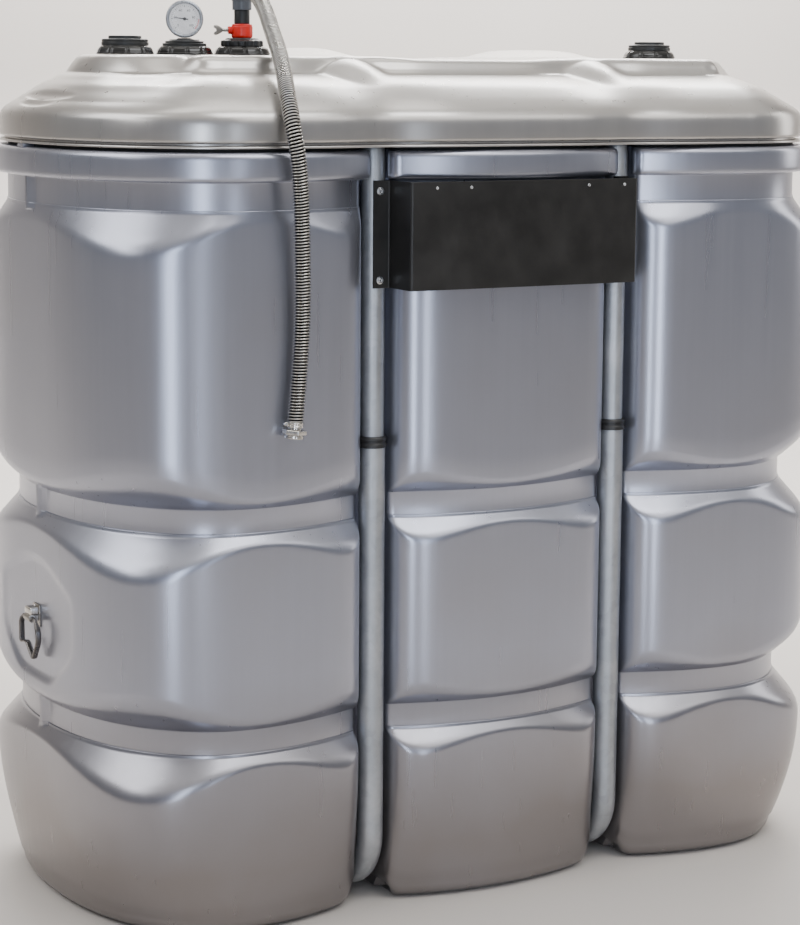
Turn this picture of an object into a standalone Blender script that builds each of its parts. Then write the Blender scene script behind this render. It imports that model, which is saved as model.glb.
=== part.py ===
"""Double-walled storage tank: a lobed moulded shell with its lid, two hoops of
galvanised tube that clasp it, a sheet cover, screw necks with gauge and
suction fitting, and a steel-spiral suction hose that hangs in front.

Metres, +Z up, front at -Y, origin at the bottom centre on the floor.
"""
import math

import bmesh
import bpy
import numpy as np
from mathutils import Matrix, Vector

# ---------------------------------------------------------------- dimensions
GAP = 0.0003                 # between pieces that touch

# plan of the shell, one quadrant from the front centre to the end, as
# (x, y) of the recessed neck band and (x, y) of the pillow's outer wall
HOOP_X, HOOP_Y = 0.275, 0.348          # axis of a hoop's upright
GROOVE_R = 0.034                       # half round groove that takes the hoop
MIDDLE = (
    ((0.000, 0.4020), (0.000, 0.4170)),
    ((0.085, 0.3960), (0.090, 0.4170)),
    ((0.160, 0.3800), (0.170, 0.4140)),
    ((0.205, 0.3655), (0.207, 0.4020)),
    ((0.230, 0.3555), (0.229, 0.3820)),
)
SIDE = (
    ((0.318, 0.3530), (0.319, 0.3720)),
    ((0.345, 0.3640), (0.343, 0.4020)),
    ((0.400, 0.3830), (0.395, 0.4170)),
    ((0.480, 0.3990), (0.485, 0.4210)),
    ((0.560, 0.4040), (0.572, 0.4200)),
    ((0.620, 0.3940), (0.650, 0.4150)),
    ((0.662, 0.3780), (0.705, 0.4040)),
    ((0.696, 0.3530), (0.745, 0.3820)),
    ((0.722, 0.3220), (0.778, 0.3500)),
    ((0.743, 0.2860), (0.800, 0.3030)),
    ((0.772, 0.2200), (0.820, 0.2250)),
    ((0.800, 0.1200), (0.832, 0.1200)),
    ((0.815, 0.0000), (0.835, 0.0000)),
)
GROOVE_ANGLES = (190, 225, 270, 315, 350)

# heights of the shell
CREASE = (0.356, 0.777, 1.373)         # top crease of each tier
UNDER = (None, 0.399, 0.820)           # lower edge of the tiers above
RING_LOW, RING_TOP = 1.4225, 1.475     # rim ring
SPIGOT_TOP = 1.4837                    # the lid rests here
SHOULDER, BELLY = 1.05, 0.90           # drop of a shoulder per metre of swell
FOOT_R = 0.035                         # rounding of the feet
FOOT_SWELL = 0.10                      # share of the swell left at the feet
CHANNEL_TOP = 0.0712                   # roof of the hoop channels underneath
UPPER_NECK, RING_OUT = 0.013, 0.040    # how far band and ring stand out
WALL = 0.012

# recess in each end
PANEL_X = 0.823
PANEL = ((0.055, 0.692), (0.198, 0.634), (0.198, 0.516), (0.092, 0.441))   # one half, as (y, z)

# lid: (offset from the plan, height) up the outside
LID_PROFILE = (
    (0.013, 1.4840), (0.013, 1.4900), (0.026, 1.4945), (0.028, 1.5030),
    (0.026, 1.5300), (0.019, 1.5480), (-0.010, 1.5730), (-0.045, 1.5940),
    (-0.098, 1.6130), (-0.132, 1.6200), (-0.146, 1.6320), (-0.153, 1.6460),
    (-0.166, 1.6520),
)
LID_INSIDE = ((-0.030, 1.4840), (-0.030, 1.5300), (-0.046, 1.5740),
              (-0.100, 1.6010), (-0.150, 1.6080), (-0.168, 1.6400))
# the end domes fall away more at the four corners: (height, extra inset)
LID_CORNER = ((1.5420, 0.0), (1.5625, 0.008), (1.5840, 0.022), (1.6045, 0.032), (1.6168, 0.024),
              (1.6270, 0.015), (1.6420, 0.021), (1.6518, 0.029))
LID_TOP = 1.6520
HUMP_TOP, HUMP_FALL, HUMP_REACH = 1.668, 0.071, 0.320

# hoops
UPPER_R, LOWER_R, JOINT_Z = 0.0225, 0.0255, 0.911
TOP_BEND, TOP_RUN = 0.130, 1.580
FOOT_BEND, FOOT_RUN = 0.100, 0.0423
COLLAR_H, COLLAR_R = 0.022, 0.0285

# sheet cover on the hoops
COVER_X, COVER_Y, COVER_LOW, COVER_HIGH = 0.2535, 0.457, 1.218, 1.421
COVER_T, FLANGE_X = 0.0025, 0.288

# screw necks on the lid's centre line
NECKS = (-0.632, -0.507, -0.383, 0.588)
NUT_R, NUT_H = 0.056, 0.0165

# suction fitting and hose
HOSE_R = 0.0145
ELBOW_Z = 1.790                        # height of the elbow's corner
ELBOW_ARM = 0.042                      # from the corner to the tail's end
HOSE_HEADING = Vector((-0.130, -0.960, -0.240)).normalized()
HOSE_START = Vector((NECKS[2], 0.0, ELBOW_Z)) + HOSE_HEADING * (ELBOW_ARM + 2 * GAP)
HOSE_ROUTE = (
    tuple(HOSE_START), tuple(HOSE_START + HOSE_HEADING * 0.045),
    (-0.4110, -0.1650, 1.7330), (-0.4280, -0.2250, 1.6990),
    (-0.4467, -0.2900, 1.6630), (-0.4720, -0.3650, 1.6185),
    (-0.4950, -0.4310, 1.5680), (-0.5010, -0.4600, 1.5260),
    (-0.4968, -0.4690, 1.4820), (-0.4884, -0.4650, 1.4200),
    (-0.4800, -0.4565, 1.3000), (-0.4770, -0.4490, 1.1500),
    (-0.4887, -0.4465, 0.9860),
)

# swing ring on the left end
RING_X, RING_Z = -0.8445, 0.565
WIRE_R = 0.0035
LOOP = ((0.032, 0.0), (0.045, -0.012), (0.045, -0.056), (0.014, -0.050), (-0.020, -0.080),
        (-0.045, -0.042), (-0.045, -0.020), (-0.027, 0.0))   # the ring's corners, as (y, z) from its axis


# ------------------------------------------------------------------- helpers
def material(name, colour, roughness, metallic=0.0):
    mat = bpy.data.materials.new(name)
    mat.use_nodes = True
    shader = mat.node_tree.nodes["Principled BSDF"]
    shader.inputs["Base Color"].default_value = (*colour, 1.0)
    shader.inputs["Roughness"].default_value = roughness
    shader.inputs["Metallic"].default_value = metallic
    mat.diffuse_color = (*colour, 1.0)
    return mat


def place(obj, mat, parent=None):
    if obj.name not in bpy.context.scene.collection.objects:
        bpy.context.scene.collection.objects.link(obj)
    obj.data.materials.clear()
    obj.data.materials.append(mat)
    if parent is not None:
        obj.parent = parent
    return obj


def from_bmesh(name, bm, mat, parent=None, smooth=40):
    bmesh.ops.remove_doubles(bm, verts=bm.verts, dist=1e-6)
    bmesh.ops.recalc_face_normals(bm, faces=bm.faces)
    mesh = bpy.data.meshes.new(name)
    bm.to_mesh(mesh)
    bm.free()
    if smooth:
        mesh.shade_smooth()
        mesh.set_sharp_from_angle(angle=math.radians(smooth))
    return place(bpy.data.objects.new(name, mesh), mat, parent)


def turned(name, profile, mat, at, axis=(0, 0, 1), steps=32, parent=None, ribs=0, rib=0.0,
           rib_rows=()):
    """A closed turned body: profile is (radius, height) from the bottom
    centre to the top centre; the rows named in rib_rows are fluted."""
    bm = bmesh.new()
    turn = Vector((0, 0, 1)).rotation_difference(Vector(axis)).to_matrix().to_4x4()
    rows = []
    for k, (radius, height) in enumerate(profile):
        row = []
        if radius <= 0.0:
            row = [bm.verts.new((0, 0, height))] * steps
        else:
            for i in range(steps):
                a = 2 * math.pi * i / steps
                r = radius
                if ribs and k in rib_rows and (i * ribs * 2 // steps) % 2:
                    r -= rib
                row.append(bm.verts.new((r * math.cos(a), r * math.sin(a), height)))
        rows.append(row)
    for low, high in zip(rows, rows[1:]):
        for i in range(steps):
            j = (i + 1) % steps
            loop = []
            for v in (low[i], low[j], high[j], high[i]):
                if v not in loop:
                    loop.append(v)
            if len(loop) > 2:
                bm.faces.new(loop)
    bmesh.ops.transform(bm, matrix=Matrix.Translation(at) @ turn, verts=bm.verts)
    return from_bmesh(name, bm, mat, parent)


def spline(points, count, heading):
    """Points at even steps of arc on the smooth curve through the given
    points (cubic, chord length parameter) that sets out along heading."""
    p = np.array(points, float)
    t = np.concatenate([[0], np.cumsum(np.linalg.norm(np.diff(p, axis=0), axis=1))])
    n = len(p)
    h = np.diff(t)
    a = np.zeros((n, n))
    b = np.zeros((n, p.shape[1]))
    a[0, 0], a[0, 1], a[-1, -1] = 2 * h[0], h[0], 1
    b[0] = 6 * ((p[1] - p[0]) / h[0] - np.array(heading))
    for i in range(1, n - 1):
        a[i, i - 1], a[i, i], a[i, i + 1] = h[i - 1], 2 * (h[i - 1] + h[i]), h[i]
        b[i] = 6 * ((p[i + 1] - p[i]) / h[i] - (p[i] - p[i - 1]) / h[i - 1])
    m = np.linalg.solve(a, b)

    def at(s):
        i = min(max(int(np.searchsorted(t, s) - 1), 0), n - 2)
        u, v = t[i + 1] - s, s - t[i]
        return ((m[i] * u**3 + m[i + 1] * v**3) / (6 * h[i])
                + (p[i] / h[i] - m[i] * h[i] / 6) * u
                + (p[i + 1] / h[i] - m[i + 1] * h[i] / 6) * v)

    fine = np.array([at(s) for s in np.linspace(0, t[-1], 1200)])
    arc = np.concatenate([[0], np.cumsum(np.linalg.norm(np.diff(fine, axis=0), axis=1))])
    steps = np.linspace(0, arc[-1], count)
    return np.stack([np.interp(steps, arc, fine[:, k]) for k in range(3)], 1), arc[-1]


def tube(name, points, radius, mat, resolution=4, parent=None):
    """A round tube along the points, closed at both ends."""
    curve = bpy.data.curves.new(name, "CURVE")
    curve.dimensions = "3D"
    curve.bevel_depth = radius
    curve.bevel_resolution = resolution
    curve.use_fill_caps = True
    line = curve.splines.new("POLY")
    line.points.add(len(points) - 1)
    for slot, co in zip(line.points, points):
        slot.co = (*[float(c) for c in co], 1.0)
    return place(bpy.data.objects.new(name, curve), mat, parent)


# ------------------------------------------------------------------ the plan
def quadrant():
    """Rows of (neck, swell, ring share, groove) for x >= 0, y >= 0."""
    rows = []
    for i, (neck, lobe) in enumerate(MIDDLE):
        rows.append((neck, lobe, 0.75 if i == len(MIDDLE) - 1 else 1.0, 0))
    for k, angle in enumerate(GROOVE_ANGLES):
        a = math.radians(angle)
        p = (HOOP_X + GROOVE_R * math.cos(a), HOOP_Y + GROOVE_R * math.sin(a))
        edge = k in (0, len(GROOVE_ANGLES) - 1)
        rows.append((p, (p[0], p[1] + (0.010 if edge else 0.0)), 0.35 if edge else 0.0, 1))
    for i, (neck, lobe) in enumerate(SIDE):
        rows.append((neck, lobe, 0.80 if i == 0 else 1.0, 0))
    return rows


def all_round(values):
    """A quadrant's rows carried round the whole plan, mirrored twice."""
    q = [np.array(v, float) for v in values]
    front = [v * (1, -1) for v in q]
    back = [v.copy() for v in q]
    return np.array(
        front
        + back[-2::-1]
        + [v * (-1, 1) for v in back[1:]]
        + [v * (-1, 1) for v in front[-2:0:-1]]
    )


def share_round(values):
    q = list(values)
    return np.array(q + q[-2::-1] + q[1:] + q[-2:0:-1], float)


ROWS = quadrant()
NECK = all_round([r[0] for r in ROWS])
LOBE = all_round([r[1] for r in ROWS])
SHARE = share_round([r[2] for r in ROWS])
GROOVE = share_round([r[3] for r in ROWS]) > 0.5
COUNT = len(NECK)
HALF = len(ROWS)

# the lid's plan has only a soft dip where the hoops pass
LID_PLAN = []
for neck, lobe, share, groove in ROWS:
    x, y = neck
    if 0.0 < x < 0.50:
        dip = math.exp(-((x - HOOP_X) / 0.085) ** 2)
        y = 0.4035 - 0.021 * dip
        if x < 0.10:
            y = 0.402
    LID_PLAN.append((x, y))
LID_PLAN = all_round(LID_PLAN)


def outward(plan, skip=None):
    """Unit normals that point out of a closed plan."""
    p = plan.copy()
    n = len(p)
    if skip is not None:
        good = np.where(~skip)[0]
    else:
        good = np.arange(n)
    normal = np.zeros_like(p)
    for k, i in enumerate(good):
        a, b = p[good[k - 1]], p[good[(k + 1) % len(good)]]
        t = b - a
        v = np.array((t[1], -t[0]))
        normal[i] = v / np.linalg.norm(v)
    if skip is not None:
        for i in np.where(skip)[0]:
            normal[i] = (0.0, math.copysign(1.0, p[i][1]))
    return normal


NORMAL = outward(NECK, GROOVE)
LID_NORMAL = outward(LID_PLAN)
SWELL = np.linalg.norm(LOBE - NECK, axis=1)


def columns():
    """Pairs of front and back places that share an x, from end to end."""
    left = [(COUNT - i, COUNT // 2 + i) for i in range(HALF - 1, 0, -1)]
    right = [(i, COUNT // 2 - i) for i in range(HALF)]
    return [(a % COUNT, b % COUNT) for a, b in left + right]


def loft(bm, rings):
    """Closed rings of (COUNT, 3) points joined into a skin."""
    made = [[bm.verts.new(p) for p in ring] for ring in rings]
    for low, high in zip(made, made[1:]):
        for i in range(COUNT):
            j = (i + 1) % COUNT
            bm.faces.new((low[i], low[j], high[j], high[i]))
    return made


def deck(bm, ring, across, height=None):
    """Closes a ring with strips from its front to its back."""
    lines = []
    for front, back in columns():
        if front == back:
            lines.append([ring[front]])
            continue
        a, b = ring[front], ring[back]
        line = [a]
        for k in range(1, across):
            co = a.co.lerp(b.co, k / across)
            if height is not None:
                co.z = height(co.x, co.y, co.z)
            line.append(bm.verts.new(co))
        line.append(b)
        lines.append(line)
    for one, two in zip(lines, lines[1:]):
        if len(one) == 1:
            for k in range(len(two) - 1):
                bm.faces.new((one[0], two[k], two[k + 1]))
        elif len(two) == 1:
            for k in range(len(one) - 1):
                bm.faces.new((two[0], one[k], one[k + 1]))
        else:
            for k in range(len(one) - 1):
                bm.faces.new((one[k], two[k], two[k + 1], one[k + 1]))


def flat_ring(plan, z):
    z = np.broadcast_to(z, (COUNT,))
    return np.column_stack([plan, z])


# ------------------------------------------------------------------- shell
def shell_rings():
    """Outside of the shell from the feet to the rim, then down inside."""
    swell = LOBE - NECK
    drop = np.maximum(SWELL, 0.0)
    foot = NECK + FOOT_SWELL * swell
    rings = []
    # feet, and the corner where each groove turns underneath
    for angle in (90, 60, 30, 0):
        a = math.radians(angle)
        radius = np.where(GROOVE, FOOT_BEND - GROOVE_R + 0.003, FOOT_R)
        base = np.where(GROOVE, CHANNEL_TOP, 0.0)
        edge = np.array([i for i in range(COUNT) if GROOVE[i]])
        inset = radius * (1 - math.cos(a))
        height = base + radius * (1 - math.sin(a))
        plan = foot - NORMAL * inset[:, None]
        for i in edge:
            # the side walls of a groove keep their x and stand a little lower
            side = abs(abs(NECK[i][0]) - HOOP_X)
            height[i] -= min(side, GROOVE_R) ** 2 / (2 * GROOVE_R)
        rings.append(flat_ring(plan, height))
    # bottom tier's tapered wall and shoulder, then the tiers above
    for tier, top in enumerate(CREASE):
        low = UNDER[tier]
        if low is not None:
            rings.append(flat_ring(NECK, low))
            rings.append(flat_ring(NECK + 0.72 * swell, low + 0.66 * BELLY * drop))
            rings.append(flat_ring(NECK + 1.00 * swell, low + 1.30 * BELLY * drop + 0.006))
        rings.append(flat_ring(NECK + 1.00 * swell, top - 1.22 * SHOULDER * drop - 0.004))
        rings.append(flat_ring(NECK + 0.80 * swell, top - 0.74 * SHOULDER * drop))
        rings.append(flat_ring(NECK, top))
    # upper band, rim ring and spigot
    upper = NECK + NORMAL * (UPPER_NECK * SHARE)[:, None]
    out = NECK + NORMAL * (RING_OUT * SHARE)[:, None]
    rim = NECK + NORMAL * ((RING_OUT - 0.008) * SHARE)[:, None]
    rings[-1] = flat_ring(upper, CREASE[-1])
    rings.append(flat_ring(upper, RING_LOW))
    rings.append(flat_ring(out, RING_LOW + 0.003))
    rings.append(flat_ring(out, RING_TOP - 0.009))
    rings.append(flat_ring(rim, RING_TOP))
    rings.append(flat_ring(NECK - NORMAL * 0.003, RING_TOP))
    rings.append(flat_ring(NECK - NORMAL * 0.003, SPIGOT_TOP))
    inner = NECK - NORMAL * WALL
    rings.append(flat_ring(inner, SPIGOT_TOP))
    base = np.where(GROOVE, 0.150, 0.075)
    rings.append(flat_ring(inner, base))
    floor_plan = foot - NORMAL * np.where(GROOVE, FOOT_BEND - GROOVE_R + 0.018, 0.052)[:, None]
    rings.append(flat_ring(floor_plan, np.where(GROOVE, CHANNEL_TOP + 0.014, 0.014)))
    return rings


def make_shell(mat, parent):
    bm = bmesh.new()
    rings = loft(bm, shell_rings())
    deck(bm, rings[0], 4)
    deck(bm, rings[-1], 4)
    shell = from_bmesh("outer_tank", bm, mat, parent, smooth=35)
    for side, word in ((-1, "left"), (1, "right")):
        outline = [(y, z) for y, z in PANEL] + [(-y, z) for y, z in PANEL[::-1]]
        cutter = bmesh.new()
        inner = [cutter.verts.new((side * PANEL_X, y, z)) for y, z in outline]
        outer = [cutter.verts.new((side * (PANEL_X + 0.080), y, z)) for y, z in outline]
        count = len(outline)
        cutter.faces.new(inner)
        cutter.faces.new(outer[::-1])
        for i in range(count):
            j = (i + 1) % count
            cutter.faces.new((inner[j], inner[i], outer[i], outer[j]))
        bmesh.ops.recalc_face_normals(cutter, faces=cutter.faces)
        edges = [e for e in cutter.edges if abs(e.verts[0].co.x - e.verts[1].co.x) > 0.01]
        bmesh.ops.bevel(cutter, geom=edges, offset=0.026, segments=4, profile=0.5, affect="EDGES")
        tool = from_bmesh("cut_panel_" + word, cutter, mat, smooth=0)
        tool.hide_render = True
        tool.display_type = "WIRE"
        cut = shell.modifiers.new("panel_" + word, "BOOLEAN")
        cut.operation = "DIFFERENCE"
        cut.solver = "EXACT"
        cut.object = tool
    return shell


# --------------------------------------------------------------------- lid
def inset_share(offset):
    """The lid climbs more steeply at its two ends than along its sides, and
    its raised middle has rounder corners than its edge."""
    power = 3.0 + 7.0 * min(max((-offset - 0.05) / 0.08, 0.0), 1.0)
    return 1.0 - 0.40 * np.abs(LID_NORMAL[:, 0]) ** power


def lid_height(x, y, z):
    """The lid's own height with the ridge over each hoop added."""
    crest = HUMP_TOP - HUMP_FALL * (abs(y) / HUMP_REACH) ** 4
    spread = min(max((abs(y) - 0.10) / 0.16, 0.0), 1.0)
    ridge = crest - (13.0 - 9.0 * spread) * (abs(x) - HOOP_X) ** 2
    return max(z, ridge) if abs(y) < 0.345 else z


def corner_inset(z):
    """Further inset of the end domes, strongest on the rounded corners."""
    heights, insets = zip(*LID_CORNER)
    weight = np.exp(-((np.abs(LID_NORMAL[:, 0]) - 0.85) / 0.20) ** 2)
    return float(np.interp(z, heights, insets)) * weight


def make_lid(mat, parent):
    bm = bmesh.new()
    rings = []
    for offset, z in LID_PROFILE:
        move = offset * (inset_share(offset) if offset < 0 else 1.0) - corner_inset(z)
        plan = LID_PLAN + LID_NORMAL * np.broadcast_to(move, (COUNT,))[:, None]
        heights = np.array([lid_height(x, y, z) for x, y in plan])
        rings.append(flat_ring(plan, heights))
    inside = []
    clear = np.abs(np.abs(NECK[:, 0]) - HOOP_X) < 0.0345
    for k, (offset, z) in enumerate(LID_INSIDE):
        move = (offset * inset_share(offset) if offset < -0.05 else np.full(COUNT, offset)) - corner_inset(z)
        plan = LID_PLAN + LID_NORMAL * move[:, None]
        if k < 2:
            plan = np.where(clear[:, None], LID_PLAN - LID_NORMAL * 0.004, plan)
        inside.append(flat_ring(plan, z))
    skin = loft(bm, inside[::-1] + rings)
    deck(bm, skin[-1], 8, lid_height)
    deck(bm, skin[0], 4)
    return from_bmesh("lid", bm, mat, parent, smooth=35)


# ------------------------------------------------------------------- hoops
def arc_points(centre, radius, start, end, count):
    """Points in the plane x = const, angles measured from +y towards +z."""
    return [(centre[0] + radius * math.cos(a), centre[1] + radius * math.sin(a))
            for a in np.radians(np.linspace(start, end, count))]


def make_hoops(steel, dark, parent):
    for side, word in ((-1, "left"), (1, "right")):
        x = side * HOOP_X
        y = HOOP_Y - TOP_BEND
        z = TOP_RUN - TOP_BEND
        start = JOINT_Z + GAP
        path = ([(-HOOP_Y, start)] + arc_points((-y, z), TOP_BEND, 180, 90, 7)
                + arc_points((y, z), TOP_BEND, 90, 0, 7) + [(HOOP_Y, start)])
        tube(f"upper_hoop_{word}", [(x, a, b) for a, b in path], UPPER_R, steel, 4, parent)
        y = HOOP_Y - FOOT_BEND
        z = FOOT_RUN + FOOT_BEND
        path = ([(-HOOP_Y, JOINT_Z)] + arc_points((-y, z), FOOT_BEND, 180, 270, 7)
                + arc_points((y, z), FOOT_BEND, 270, 360, 7) + [(HOOP_Y, JOINT_Z)])
        tube(f"lower_hoop_{word}", [(x, a, b) for a, b in path], LOWER_R, steel, 4, parent)
        for back, place_word in ((-1, "front"), (1, "back")):
            make_collar(f"{place_word}_collar_{word}", (x, back * HOOP_Y), back, dark, parent)


def make_collar(name, at, back, mat, parent):
    """Ring clamp at the joint of two tubes, with a small ear on its right."""
    bm = bmesh.new()
    inner = UPPER_R + GAP + 0.0004
    low = JOINT_Z + GAP
    profile = ((inner, 0.0), (COLLAR_R, 0.0), (COLLAR_R, COLLAR_H * 0.72),
               (COLLAR_R - 0.0025, COLLAR_H * 0.78), (COLLAR_R - 0.0025, COLLAR_H), (inner, COLLAR_H))
    steps = 24
    rows = []
    for r, h in profile:
        row = []
        for i in range(steps):
            a = 2 * math.pi * i / steps
            row.append(bm.verts.new((at[0] + r * math.cos(a), at[1] + r * math.sin(a), low + h)))
        rows.append(row)
    for k in range(len(rows)):
        one, two = rows[k], rows[(k + 1) % len(rows)]
        for i in range(steps):
            j = (i + 1) % steps
            bm.faces.new((one[i], one[j], two[j], two[i]))
    return from_bmesh(name, bm, mat, parent)


# -------------------------------------------------------------- sheet cover
def make_cover(mat, parent):
    """Folded sheet, open above and below: front, two sides, two flanges."""
    pipe_front = HOOP_Y + UPPER_R + GAP
    t = COVER_T
    outside = [(-FLANGE_X, -pipe_front), (-FLANGE_X, -(pipe_front + t)), (-COVER_X, -(pipe_front + t)),
               (-COVER_X, -COVER_Y), (COVER_X, -COVER_Y), (COVER_X, -(pipe_front + t)),
               (FLANGE_X, -(pipe_front + t)), (FLANGE_X, -pipe_front), (COVER_X - t, -pipe_front),
               (COVER_X - t, -(COVER_Y - t)), (-(COVER_X - t), -(COVER_Y - t)), (-(COVER_X - t), -pipe_front)]
    bm = bmesh.new()
    base = bm.faces.new([bm.verts.new((x, y, COVER_LOW)) for x, y in outside])
    grown = bmesh.ops.extrude_face_region(bm, geom=[base])
    bmesh.ops.translate(bm, vec=(0, 0, COVER_HIGH - COVER_LOW),
                        verts=[v for v in grown["geom"] if isinstance(v, bmesh.types.BMVert)])
    return from_bmesh("sheet_cover", bm, mat, parent, smooth=0)


# --------------------------------------------------------- necks and fittings
def make_necks(mats, parent):
    top = LID_TOP + GAP
    nut = ((0, 0), (NUT_R, 0), (NUT_R, 0.0075), (NUT_R - 0.005, NUT_H - 0.002),
           (NUT_R - 0.008, NUT_H), (0, NUT_H))
    for k, x in enumerate(NECKS, 1):
        turned(f"neck_nut_{k}", nut, mats["nut"], (x, 0, top), steps=36, parent=parent)
    above = top + NUT_H + GAP
    plug = ((0, 0), (0.0455, 0), (0.0455, 0.0095), (0.0425, 0.0125), (0.0325, 0.0125),
            (0.0315, 0.0185), (0, 0.0185))
    turned("plug_left", plug, mats["plug"], (NECKS[0], 0, above), steps=32, parent=parent)
    turned("plug_right", plug, mats["plug"], (NECKS[3], 0, above), steps=32, parent=parent)

    # level gauge: stepped adapter, upright case, glass over the dial
    seat = ((0, 0), (0.043, 0), (0.043, 0.005), (0.037, 0.006), (0.037, 0.0095), (0.029, 0.0105),
            (0.029, 0.0125), (0.016, 0.0132), (0.0135, 0.0151), (0, 0.0151))
    turned("gauge_adapter", seat, mats["plug"], (NECKS[1], 0, above), steps=28, parent=parent)
    centre = Vector((NECKS[1], 0.0, 1.7210))
    face = Vector((-0.36, -0.93, 0.0)).normalized()
    case_r = 0.0365
    foot = above + 0.0151 + GAP
    neck = ((0, 0), (0.010, 0), (0.010, centre.z - case_r - foot - GAP), (0, centre.z - case_r - foot - GAP))
    if centre.z - case_r - foot - GAP > 0.0015:
        turned("gauge_stem", neck, mats["case"], (NECKS[1], 0, foot), steps=16, parent=parent)
    back = centre - face * 0.013
    case = ((0, 0), (case_r - 0.004, 0), (case_r - 0.001, 0.004), (case_r - 0.001, 0.019),
            (case_r, 0.020), (case_r, 0.026), (case_r - 0.0035, 0.0275), (case_r - 0.0035, 0.0235),
            (0, 0.0235))
    turned("gauge_case", case, mats["case"], back, axis=face, steps=32, parent=parent)
    glass = ((0, 0), (case_r - 0.0042, 0), (case_r - 0.0042, 0.0018), (0, 0.0026))
    turned("gauge_glass", glass, mats["glass"], back + face * (0.0235 + GAP), axis=face, steps=32,
           parent=parent)

    # suction fitting: ribbed nut, red clamp with its wing screw, tube, socket
    x = NECKS[2]
    rib = ((0, 0), (0.0425, 0), (0.0425, 0.0105), (0.0345, 0.013), (0.031, 0.0165), (0, 0.0165))
    turned("suction_nut", rib, mats["plug"], (x, 0, above), steps=36, parent=parent, ribs=9,
           rib=0.0022, rib_rows=(1, 2))
    z = above + 0.0165 + GAP
    clamp = ((0, 0), (0.0195, 0), (0.0215, 0.003), (0.0215, 0.0235), (0.0205, 0.0262), (0.0185, 0.027),
             (0, 0.027))
    turned("tube_clamp", clamp, mats["red"], (x, 0, z), steps=28, parent=parent)
    aim = Vector((-0.98, 0.20, 0.0)).normalized()
    screw = ((0, 0), (0.0075, 0), (0.0075, 0.008), (0.0035, 0.009), (0.0035, 0.018), (0, 0.018))
    turned("clamp_screw", screw, mats["steel"], Vector((x, 0, z + 0.015)) + aim * (0.0215 + GAP), axis=aim,
           steps=14, parent=parent)
    wing_base = Vector((x, 0, z + 0.015)) + aim * (0.0215 + GAP + 0.018 + GAP)
    make_wing("wing_grip", wing_base, aim, mats["steel"], parent)
    z += 0.027 + GAP
    pipe = ((0, 0), (0.0155, 0), (0.0155, 0.0265), (0, 0.0265))
    turned("suction_tube", pipe, mats["plug"], (x, 0, z), steps=20, parent=parent)
    z += 0.0265 + GAP
    socket = ((0, 0), (0.0190, 0), (0.0190, 0.017), (0.0205, 0.019), (0.0205, 0.0235), (0.0185, 0.025),
              (0, 0.025))
    turned("tube_socket", socket, mats["grey"], (x, 0, z), steps=24, parent=parent)
    z += 0.025 + GAP
    make_elbow(Vector((x, 0, z)), mats["nickel"], parent)


def make_wing(name, base, aim, mat, parent):
    """Flat two-lobed grip of the wing screw."""
    across = Vector((0, 0, 1))
    thick = aim.cross(across)
    outline = [(0.0, -0.0045), (0.006, -0.0075), (0.012, -0.0095), (0.0165, -0.0080), (0.0175, -0.0045),
               (0.0140, -0.0020), (0.0125, 0.0), (0.0140, 0.0020), (0.0175, 0.0045), (0.0165, 0.0080),
               (0.012, 0.0095), (0.006, 0.0075), (0.0, 0.0045)]
    bm = bmesh.new()
    face = bm.faces.new([bm.verts.new(base + aim * a + across * b - thick * 0.0015) for a, b in outline])
    grown = bmesh.ops.extrude_face_region(bm, geom=[face])
    bmesh.ops.translate(bm, vec=thick * 0.003,
                        verts=[v for v in grown["geom"] if isinstance(v, bmesh.types.BMVert)])
    return from_bmesh(name, bm, mat, parent, smooth=0)


def make_elbow(foot, mat, parent):
    """Plated elbow: up out of the socket, then forward to the hose."""
    rise = Vector((0, 0, 1))
    corner = Vector((foot.x, foot.y, ELBOW_Z))
    end = corner + HOSE_HEADING * (ELBOW_ARM - 0.012 - GAP)
    radius = min(0.020, (corner - foot).length * 0.8)
    a, b = corner - rise * radius, corner + HOSE_HEADING * radius
    path = [foot]
    for k in range(7):
        t = k / 6
        path.append(a.lerp(corner, t).lerp(corner.lerp(b, t), t))
    path.append(end)
    tube("hose_elbow", path, 0.0165, mat, 3, parent)
    tail = ((0, 0), (0.0165, 0), (0.0165, 0.004), (0.0125, 0.0045), (0.0125, 0.012), (0, 0.012))
    turned("hose_tail", tail, mat, end + HOSE_HEADING * GAP, axis=HOSE_HEADING, steps=18, parent=parent)


def make_hose(mats, parent):
    points, length = spline(HOSE_ROUTE, 44, HOSE_HEADING)
    tube("suction_hose", points, HOSE_R, mats["hose"], 3, parent)
    end, before = Vector(points[-1]), Vector(points[-2])
    down = (end - before).normalized()
    clamp = ((0, 0), (0.0165, 0), (0.0165, 0.010), (0, 0.010))
    turned("hose_end_clamp", clamp, mats["nickel"], end + down * 2 * GAP, axis=down, steps=20, parent=parent)
    union = ((0, 0), (0.0125, 0), (0.0125, 0.003), (0.0225, 0.0045), (0.0225, 0.0130), (0.0185, 0.0145),
             (0.0185, 0.0205), (0, 0.0205))
    turned("hose_end_union", union, mats["nickel"], end + down * (0.010 + 3 * GAP), axis=down, steps=18,
           parent=parent)


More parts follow.
